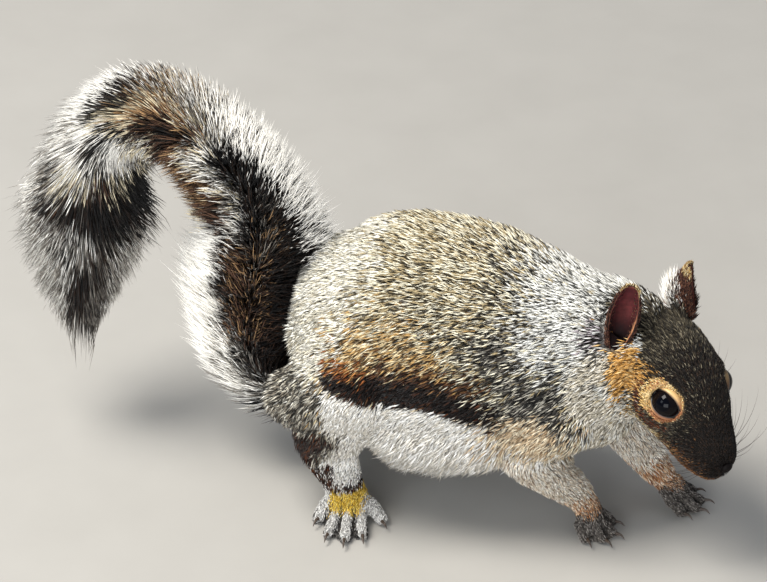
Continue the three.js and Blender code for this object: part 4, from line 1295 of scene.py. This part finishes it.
def grow(name, wanted, seed, cylinder):
    """Sows one region of the skin with locks; wanted is a mask of skin vertices."""
    rng = np.random.default_rng(seed)
    share = tri_locks * wanted[TRI[:, 0]]
    total = int(share.sum())
    running = np.cumsum(share)
    pick = np.searchsorted(running, (np.arange(total) + rng.random(total)) * running[-1] / total)
    pick = np.minimum(pick, len(TRI) - 1)
    a, b = rng.random((2, total))
    flip = a + b > 1
    a[flip], b[flip] = 1 - a[flip], 1 - b[flip]
    bary = np.stack([1 - a - b, a, b], 1)[..., None]
    ids = TRI[pick]
    root = (verts[ids] * bary).sum(1)
    up = unit((normal[ids] * bary).sum(1))
    way = (lie[ids] * bary).sum(1)
    length, waist, lift, _ = (coat[ids] * bary).sum(1).T
    owner = label[ids[:, 0]]
    jitter = rng.normal(size=(total, 3)) * SCATTER
    clump = np.stack([patchy(root, 5, 31), patchy(root, 5, 32), patchy(root, 5, 33)], 1) * CLUMPING
    way = way + jitter + clump
    way = unit(way - (way * up).sum(1)[:, None] * up)
    length = length * rng.uniform(0.72, 1.22, total)
    waist = waist * rng.uniform(0.8, 1.2, total)
    lift = np.radians(lift * rng.uniform(0.65, 1.25, total))
    first, second = 0.60 * length, 0.40 * length
    middle = root + way * (first * np.cos(lift))[:, None] + up * (first * np.sin(lift))[:, None]
    droop = lift * 0.42
    tip = middle + way * (second * np.cos(droop))[:, None] + up * (second * np.sin(droop))[:, None]
    tip[:, 2] = np.maximum(tip[:, 2], 0.25)
    middle[:, 2] = np.maximum(middle[:, 2], 0.35)
    stations = np.stack([root - up * 0.25, middle, tip], 1)
    zone, kind = pick_hairs(zone_weights(root, owner), rng)
    tip_tint = ZONE_HAIRS[zone, kind]
    mid_tint = ZONE_HAIRS[zone, 1] * 0.12 + tip_tint * 0.80
    root_tint = (ZONE_HAIRS[zone, 1] * 0.5 + tip_tint * 0.3) * ROOT_SHADE
    tints = np.stack([root_tint, mid_tint, tip_tint], 1) * rng.uniform(0.84, 1.14, (total, 1, 1))
    return locks(name, stations, waist[:, None], np.clip(tints, 0, 1), cylinder(root))


def along_body(points):
    """The unwrap of the trunk, whose axis runs 64 mm over the ground."""
    return unwrapped(points[:, 0], np.arctan2(points[:, 1], points[:, 2] - 64))


def along_head(points):
    h = in_head(points)
    return unwrapped(h[:, 0], np.arctan2(h[:, 1], h[:, 2] - 1))


def along_limb(points):
    aside, ahead = points[:, 1] - points[:, 1].mean(), points[:, 0] - points[:, 0].mean()
    return unwrapped(points[:, 2], np.arctan2(aside, ahead))


torso = named("trunk", "tail")
rightward = verts[:, 1] < 0
for name, wanted, cylinder, slot_name in [
        ("coat_rump_right", torso & rightward & (x < 8), along_body, "coat"),
        ("coat_rump_left", torso & ~rightward & (x < 8), along_body, "coat"),
        ("coat_ribs_right", torso & rightward & (x >= 8), along_body, "coat"),
        ("coat_ribs_left", torso & ~rightward & (x >= 8), along_body, "coat"),
        ("coat_neck", named("neck"), along_body, "coat"),
        ("coat_head_right", head & (local[:, 1] < 0), along_head, "coat"),
        ("coat_head_left", head & (local[:, 1] >= 0), along_head, "coat"),
        ("coat_hindleg_right", named("thigh_right", "shank_right"), along_limb, "coat"),
        ("coat_hindleg_left", named("thigh_left", "shank_left"), along_limb, "coat"),
        ("coat_foreleg_right", named("upperarm_right", "forearm_right"), along_limb, "coat"),
        ("coat_foreleg_left", named("upperarm_left", "forearm_left"), along_limb, "coat"),
        ("coat_hindfoot_right", named("hindfoot_right"), along_limb, "paw"),
        ("coat_hindfoot_left", named("hindfoot_left"), along_limb, "paw"),
        ("coat_forefoot_right", named("forefoot_right"), along_limb, "paw"),
        ("coat_forefoot_left", named("forefoot_left"), along_limb, "paw")]:
    grow(name, wanted, len(name) * 7 + 3, cylinder)


def on_sheet(grid, t, u):
    """A grid of points read at fractions t along and u (-1 to 1) across."""
    rows, cols = grid.shape[:2]
    a, b = t * (rows - 1), (u + 1) / 2 * (cols - 1)
    i, j = np.minimum(a.astype(int), rows - 2), np.minimum(b.astype(int), cols - 2)
    a, b = (a - i)[:, None], (b - j)[:, None]
    return (grid[i, j] * (1 - a) * (1 - b) + grid[i + 1, j] * a * (1 - b)
            + grid[i, j + 1] * (1 - a) * b + grid[i + 1, j + 1] * a * b)


# the ears: short dense fur on the back, brown with a white puff low on the
# left one, a short fringe along the rim and a few hairs inside it
EAR_HAIRS = 4000
for side, rear, front, away, tall in ear_roots:
    rng = np.random.default_rng(len(side) + 90)
    n = EAR_HAIRS
    kind = rng.choice(3, n, p=[0.80, 0.16, 0.04])        # back, rim, inside
    t = rng.random(n) ** 0.9 * 0.97 + 0.015
    u = np.where(kind == 0, rng.uniform(-1, 1, n),
                 np.sign(rng.normal(size=n)) * rng.uniform(0.93, 1.0, n))
    u = np.where(kind == 2, np.sign(u) * rng.uniform(0.55, 0.95, n), u)
    t = np.where((kind == 1) & (rng.random(n) < 0.25), rng.uniform(0.93, 0.995, n), t)
    root = np.where((kind == 2)[:, None], on_sheet(front, t, u), on_sheet(rear, t, u))
    root, tall_way = from_head(root), tall @ HEAD_AXES
    up = unit(on_sheet(away, t, u) @ HEAD_AXES) * np.where(kind == 2, -1, 1)[:, None]
    sidelong = on_sheet(rear, t, np.minimum(u + 0.05, 1)) - on_sheet(rear, t, np.maximum(u - 0.05, -1))
    sidelong = unit(sidelong) @ HEAD_AXES
    splay = np.sign(u) * np.select([kind == 0, kind == 1], [0.15, 0.9], -0.5)
    way = tall_way + sidelong * splay[:, None] + rng.normal(size=(n, 3)) * 0.22
    way = unit(way - (way * up).sum(1)[:, None] * up)
    away_side = 1 if side == "left" else -1          # the edge turned to the nape
    puff = (kind == 0) * step(t, 0.78, 0.50) * np.exp(-((u - 0.1 * away_side) / 0.42) ** 2)
    puff = puff * (1.0 if side == "left" else 0.12)
    length = np.interp(t, [0, 0.5, 1], [3.4, 2.6, 1.8]) + 5.5 * puff
    length = length * np.select([kind == 0, kind == 1], [1.0, 0.40], 0.35) * rng.uniform(0.75, 1.25, n)
    lift = np.select([kind == 0, kind == 1], [20, 4], 22) + 30 * puff
    lift = np.radians(lift * rng.uniform(0.6, 1.4, n))
    middle = root + way * (0.55 * length * np.cos(lift))[:, None]
    middle = middle + up * (0.55 * length * np.sin(lift))[:, None]
    tip = middle + way * (0.45 * length)[:, None] + up * (0.45 * length * np.sin(lift * 0.3))[:, None]
    low = np.maximum(puff, 0.75 * step(t, 0.80, 0.92) * (kind < 2))
    pale = rng.random(n) < low
    cheek_hair, belly_hair, back_hair = (ZONE_NAMES.index(k) for k in ("cheek", "belly", "earback"))
    zone = np.where(pale, np.where(t > 0.72, cheek_hair, belly_hair), back_hair)
    hair = (rng.random(n)[:, None] > np.cumsum(ZONE_SHARE[zone], 1)[:, :2]).sum(1)
    tint = ZONE_HAIRS[zone, hair] * rng.uniform(0.85, 1.15, (n, 1))
    # painted shade: each hair is darker at its root and middle, as in the shade of the others
    tints = np.stack([tint * 0.45, tint * 0.85, tint], 1)
    stations = np.stack([root - up * 0.1, middle, tip], 1)
    widths = rng.uniform(0.24, 0.36, (n, 1))
    locks(f"ear_fur_{side}", stations, widths, np.clip(tints, 0, 1), unwrapped(t, u))

# ---------------------------------------------------------------------------
# The tail's plume. Stiff, nearly straight hairs two to three centimetres long
# stand out from the core and sweep towards its tip; each changes from brown
# through cream and black to white, so that bands run along the whole plume.
# ---------------------------------------------------------------------------
PLUME = {"white": "#f6f3ec", "cream": "#e3d6b8", "tan": "#a5835d", "brown": "#5f4434",
         "dark": "#2a1c13", "black": "#100e0d", "grey": "#8b857c"}
PLUME_NAMES = list(PLUME)
PLUME_RGB = np.array([colour(PLUME[n]) for n in PLUME_NAMES])
# stations along the tail (share of the length), each with its bands from the
# inner edge (-1) to the outer edge (+1) as (end, mix of hairs)
BANDS = [
    (0.05, [(1.3, "grey white black")]),
    (0.10, [(-0.10, "white white grey"), (0.35, "grey white black"), (1.3, "black dark")]),
    (0.15, [(-0.25, "white"), (0.05, "white grey black"), (0.35, "black grey dark"),
            (1.3, "black dark")]),
    (0.20, [(-0.42, "white"), (-0.25, "black dark white"), (0.35, "brown dark tan dark"),
            (0.60, "dark black brown"), (1.3, "black")]),
    (0.25, [(-0.55, "white"), (-0.38, "black dark"), (-0.02, "brown tan brown dark"),
            (0.30, "dark brown tan black"), (1.3, "black black dark")]),
    (0.30, [(-0.60, "white"), (-0.42, "black dark white"), (-0.10, "brown dark tan"),
            (0.25, "dark grey tan brown"), (0.45, "dark black"), (0.86, "black black dark"),
            (0.93, "black white"), (1.3, "white")]),
    (0.345, [(-0.50, "white"), (-0.22, "black white dark"), (-0.08, "grey white black"),
             (0.18, "black dark"), (0.58, "dark grey tan black"), (0.79, "black black dark"),
             (1.3, "white")]),
    (0.375, [(-0.70, "white cream"), (-0.30, "brown dark black"), (-0.05, "white grey"),
             (0.10, "black white"), (0.35, "black dark"), (0.55, "black dark grey"),
             (0.70, "black black dark"), (1.3, "white")]),
    (0.40, [(-0.85, "cream"), (-0.12, "brown dark"), (0.10, "white cream"), (0.20, "black white"),
            (0.66, "black black dark"), (0.74, "black white"), (1.3, "white")]),
    (0.425, [(-0.85, "cream brown"), (-0.18, "brown dark tan"), (0.05, "white cream white"),
             (0.14, "black white"), (0.62, "black black dark"), (0.72, "black white"), (1.3, "white")]),
    (0.45, [(-0.25, "brown tan dark"), (-0.02, "white cream"), (0.10, "white black"),
            (0.58, "black black dark"), (0.70, "black white"), (1.3, "white")]),
    (0.475, [(-0.35, "brown dark tan"), (0.40, "white cream white"), (0.72, "white black grey"),
             (1.3, "white")]),
    (0.50, [(0.32, "brown tan dark"), (0.52, "tan cream brown"), (0.70, "cream white"),
            (0.86, "grey white black"), (1.3, "white")]),
    (0.525, [(0.30, "brown dark black"), (0.45, "brown tan dark"), (0.65, "tan cream brown"),
             (0.76, "tan cream"), (0.92, "black grey white"), (1.3, "white grey")]),
    (0.55, [(-0.75, "brown cream"), (-0.15, "cream white dark"), (0.25, "dark brown black"),
            (0.48, "brown dark tan"), (0.78, "tan cream tan"), (0.93, "black grey"),
            (1.3, "white grey")]),
    (0.575, [(-0.45, "white cream"), (-0.15, "black dark cream"), (0.10, "cream black"),
             (0.48, "cream tan cream"), (0.60, "black cream"), (0.93, "black black dark"),
             (1.3, "white")]),
    (0.60, [(-0.75, "black cream"), (-0.50, "white cream"), (-0.30, "black white"), (-0.08, "white"),
            (0.22, "black black white"), (0.42, "white cream"), (0.66, "black"), (0.78, "white black"),
            (1.3, "white")]),
    (0.625, [(-0.75, "white black"), (-0.25, "white"), (-0.10, "black white dark"),
             (0.22, "black black white"), (1.3, "white")]),
    (0.65, [(-0.80, "black cream"), (-0.45, "white"), (0.20, "grey black white"),
            (1.3, "white white grey white")]),
    (0.675, [(-0.80, "black"), (-0.45, "black cream"), (-0.20, "black white dark"),
             (0.0, "white black"), (0.45, "white"), (1.3, "white grey white")]),
    (0.70, [(-0.80, "black"), (-0.60, "black cream dark"), (-0.28, "black dark brown"),
            (-0.15, "white cream dark"), (0.48, "white cream"), (0.70, "grey black white"),
            (1.3, "white grey")]),
    (0.725, [(-0.20, "black"), (0.0, "dark brown black"), (0.25, "white dark brown"),
             (0.50, "black white grey"), (0.82, "black grey dark"), (1.3, "white grey")]),
    (0.75, [(0.40, "black black dark"), (0.70, "black dark"), (0.88, "grey black white"),
            (1.3, "white")]),
    (0.775, [(-0.80, "black grey"), (-0.20, "black"), (0.0, "black dark white"),
             (0.30, "dark grey white"), (0.62, "white grey dark"), (1.3, "white grey")]),
    (0.80, [(-0.80, "grey white"), (-0.62, "dark grey white"), (-0.32, "black dark grey"),
            (-0.15, "white grey dark"), (0.40, "white grey black"), (1.3, "white grey")]),
    (0.85, [(-0.85, "grey white"), (-0.62, "grey dark white"), (-0.35, "black dark grey"),
            (0.0, "black dark"), (0.25, "grey black white"), (1.3, "white grey")]),
    (0.90, [(-0.70, "grey white"), (-0.30, "black grey dark"), (0.15, "black dark"),
            (1.3, "white grey")]),
    (0.95, [(-0.60, "grey dark"), (0.40, "black dark grey"), (1.3, "grey white")]),
    (1.02, [(0.50, "black dark grey"), (1.3, "grey white")])]
BAND_S = np.array([b[0] for b in BANDS])


def plume_kind(s, q, chance):
    """Which hair stands at a share s of the plume's length and a place q across it."""
    kind = np.zeros(len(s), int)
    station = np.abs(s[:, None] - BAND_S).argmin(1)
    for i, (_, bands) in enumerate(BANDS):
        low = -9.0
        for edge_q, mix in bands:
            inside = (station == i) & (q > low) & (q <= (edge_q if edge_q < 1.2 else 99))
            low = edge_q
            kinds = np.array([PLUME_NAMES.index(k) for k in mix.split()])
            kind[inside] = kinds[np.minimum((chance[inside] * len(kinds)).astype(int), len(kinds) - 1)]
    return kind


# at places along the tail: how far a hair sweeps on, in mm, and by what share
# the plume's outer and inner fringes reach past its half width
SWEEP = ([0, 0.25, 0.45, 0.60, 0.70, 0.80, 1], [16, 13, 9, 11, 18, 26, 30])
OUTER_FRINGE = ([0.18, 0.26, 0.33, 0.42, 0.50, 0.57, 0.62, 0.74, 0.80, 0.88, 0.95],
                [0, 0.26, 0.24, 0.10, 0.05, 0.10, 0, 0.02, 0.18, 0.16, 0])
INNER_FRINGE = ([0.08, 0.14, 0.28, 0.36, 0.62, 0.70, 0.78, 0.84, 0.92],
                [0, 0.25, 0.22, 0, 0, 0.22, 0.16, 0, -0.20])


def plume(name, total, seed, low_s, high_s):
    """One length of the plume, between two shares of the tail's length."""
    rng = np.random.default_rng(seed)
    s0 = rng.uniform(low_s, high_s, total)
    turn = rng.uniform(0, 2 * np.pi, total)
    turn = turn + 0.10 * np.sin(2 * turn)
    spot = np.stack([s0 * TAIL_LENGTH, 14 * np.cos(turn), 14 * np.sin(turn)], 1)
    gather, lean, stand = patchy(spot, 4.5, 61), patchy(spot, 4.5, 62), patchy(spot, 3.2, 63)
    layer = (1.0 - 0.72 * rng.random(total) ** 1.8) * (1 + 0.06 * stand)
    layer = layer + 0.12 * (rng.random(total) < 0.06)           # a few stray long hairs
    sweep_mm = np.interp(s0, *SWEEP) * rng.uniform(0.6, 1.4, total)
    sweep_mm = sweep_mm * (0.5 + 0.5 * layer) * (1 + 0.28 * gather)
    farthest = 0.895 + 0.18 * rng.random(total) ** 4
    sweep_mm = np.minimum(sweep_mm, np.maximum(6, (farthest - s0) * TAIL_LENGTH))
    # the tip stands over a point further along the tail, and the hair runs
    # nearly straight to it from the core
    s1 = s0 + sweep_mm / TAIL_LENGTH
    at, along, out, wide, deep = on_tail(np.minimum(s1, 1.0))
    at = at + along * (np.maximum(s1 - 1.0, 0) * TAIL_LENGTH)[:, None]
    part = -np.sin(turn) * np.tanh(3 * np.cos(turn))
    angle = turn + rng.normal(size=total) * 0.16 + 0.22 * lean + 0.50 * part
    outer, inner_side = step(np.cos(angle), 0.2, 0.9), step(np.cos(angle), -0.4, -0.95)
    end_taper = 6.0 * np.clip(1 - (s1 - 0.96) / 0.13, 0.15, 1)
    fringe = 1 + outer * np.interp(s1, *OUTER_FRINGE) + inner_side * np.interp(s1, *INNER_FRINGE)
    wide = np.maximum(np.where(s1 > 1, 0, wide), end_taper) * fringe
    deep = np.maximum(np.where(s1 > 1, 0, deep), end_taper)
    reach = 1 / np.sqrt((np.cos(angle) / wide) ** 2 + (np.sin(angle) / deep) ** 2)
    r0 = core_radius(np.minimum(s0, 1)) * 0.8
    outwards = np.cos(angle)[:, None] * out + np.sin(angle)[:, None] * SIDEWAYS
    tip = at + outwards * np.maximum(reach * layer, r0 + 1)[:, None]
    at, _, out, _, _ = on_tail(s0)
    away = np.cos(turn)[:, None] * out + np.sin(turn)[:, None] * SIDEWAYS
    root = at + away * r0[:, None]
    bow = rng.uniform(0.02, 0.10, total) * np.linalg.norm(tip - root, axis=1)
    chance = (rng.random(total) + 0.22 * gather) % 1.0
    shift_s, shift_q = rng.normal(size=total) * 0.008, rng.normal(size=total) * 0.045

    def station(f):
        """Points at fractions f of each hair, and the kind of hair the bands ask for there."""
        f = np.broadcast_to(f, total)
        s = s0 + (s1 - s0) * f
        point = root + (tip - root) * f[:, None] + away * (bow * 4 * f * (1 - f))[:, None]
        at, _, out, wide, _ = on_tail(np.minimum(s, 1.0))
        q = ((point - at) * out).sum(1) / np.maximum(wide, 4.5)
        clump = patchy(point, 6, 77)
        return point, plume_kind(s + shift_s + 0.006 * clump, q + shift_q + 0.04 * clump, chance)

    # the two rings stand where the hair last changes its colour, so that the
    # change is sharp, as it is between the bands of a real guard hair
    shares = np.linspace(0.30, 1.0, 15)
    kinds = np.stack([station(f)[1] for f in shares], 1)
    changed = kinds[:, :-1] != kinds[:, -1:]
    last = changed.shape[1] - 1 - changed[:, ::-1].argmax(1)
    turn_at = np.where(changed.any(1), np.minimum(shares[last] + 0.025, 0.90), 0.66)
    first, second = station(turn_at - 0.035), station(turn_at + 0.035)
    stations = np.stack([root, first[0], second[0], tip], 1)
    stations[..., 2] = np.maximum(stations[..., 2], 0.5)
    before = np.where(changed.any(1), kinds[np.arange(total), last], kinds[:, -1])
    end_tint = PLUME_RGB[kinds[:, -1]]
    # painted shade: each hair's root is darkened, as it lies in the shade inside the plume
    tints = np.stack([PLUME_RGB[kinds[:, 0]] * 0.45, PLUME_RGB[before], end_tint, end_tint], 1)
    tints = tints * rng.uniform(0.85, 1.1, (total, 1, 1))
    width = rng.uniform(0.36, 0.62, total)
    widths = np.stack([width * np.clip((1.12 - turn_at) / 0.5, 0.45, 1),
                       width * np.clip((1.0 - turn_at) / 0.5, 0.35, 0.9)], 1)
    place = unwrapped(s0, turn % (2 * np.pi))
    return locks(name, stations, widths, np.clip(tints, 0, 1), place)


# where each length starts and ends, and its number of hairs
LENGTHS = [(0.015, 0.25, 10000), (0.25, 0.50, 12000), (0.50, 0.75, 12000), (0.75, CORE_END, 5600)]
for i, (low_s, high_s, total) in enumerate(LENGTHS):
    plume(f"plume_{i + 1}", total, 50 + i, low_s, high_s)

# ---------------------------------------------------------------------------
# The floor and the light. A plain pale studio floor, one broad soft key light
# high over the tail, a weak cool window behind the right flank, and a low
# fill beside it.
# ---------------------------------------------------------------------------
floor_mesh = bpy.data.meshes.new("floor")
FLOOR = 3                                        # metres from the middle to each edge
floor_mesh.from_pydata([(-FLOOR, -FLOOR, 0), (FLOOR, -FLOOR, 0), (FLOOR, FLOOR, 0),
                        (-FLOOR, FLOOR, 0)], [], [(0, 1, 2, 3)])
floor = bpy.data.objects.new("floor", floor_mesh)
bpy.context.scene.collection.objects.link(floor)
# Studio floor: matt painted board, very slightly mottled at 33 mm.
board, tree, end = material("matt_painted_board")
coords = node(tree, "ShaderNodeTexCoord")
mottle = node(tree, "ShaderNodeTexNoise", [("Vector", coords.outputs["Object"])],
              in_Scale=30.0, in_Detail=4.0)
tint = node(tree, "ShaderNodeMix", [(0, mottle.outputs["Fac"])],
            data_type="RGBA", in_6=(*colour("#a19e98"), 1), in_7=(*colour("#aaa7a1"), 1))
shader = node(tree, "ShaderNodeBsdfPrincipled", [("Base Color", tint.outputs[2])], in_Roughness=0.85)
tree.links.new(shader.outputs[0], end.inputs["Surface"])
floor_mesh.materials.append(board)

bpy.context.scene.view_settings.view_transform = "Standard"
sky = bpy.data.worlds.new("studio")
sky.use_nodes = True
glow = sky.node_tree.nodes["Background"].inputs
glow["Color"].default_value = (0.86, 0.91, 1.0, 1)
glow["Strength"].default_value = 0.45
bpy.context.scene.world = sky
LIT_POINT = Vector((0, 0, 0.06))
# name, place in metres, watts, width in metres and tone of each light
for name, stand, watts, width, tone in [
        ("key", (-0.55, -0.35, 1.5), 37, 0.7, (1.0, 0.97, 0.92)),
        ("window", (-0.9, -1.1, 0.9), 4, 0.5, (0.85, 0.93, 1.0)),
        ("fill", (0.15, -1.3, 0.22), 14, 0.8, (0.95, 0.97, 1.0))]:
    data = bpy.data.lights.new(name, "AREA")
    data.energy, data.size, data.color = watts, width, tone
    lamp = bpy.data.objects.new(name, data)
    lamp.location = stand
    lamp.rotation_euler = (Vector(stand) - LIT_POINT).to_track_quat("Z", "Y").to_euler()
    bpy.context.scene.collection.objects.link(lamp)
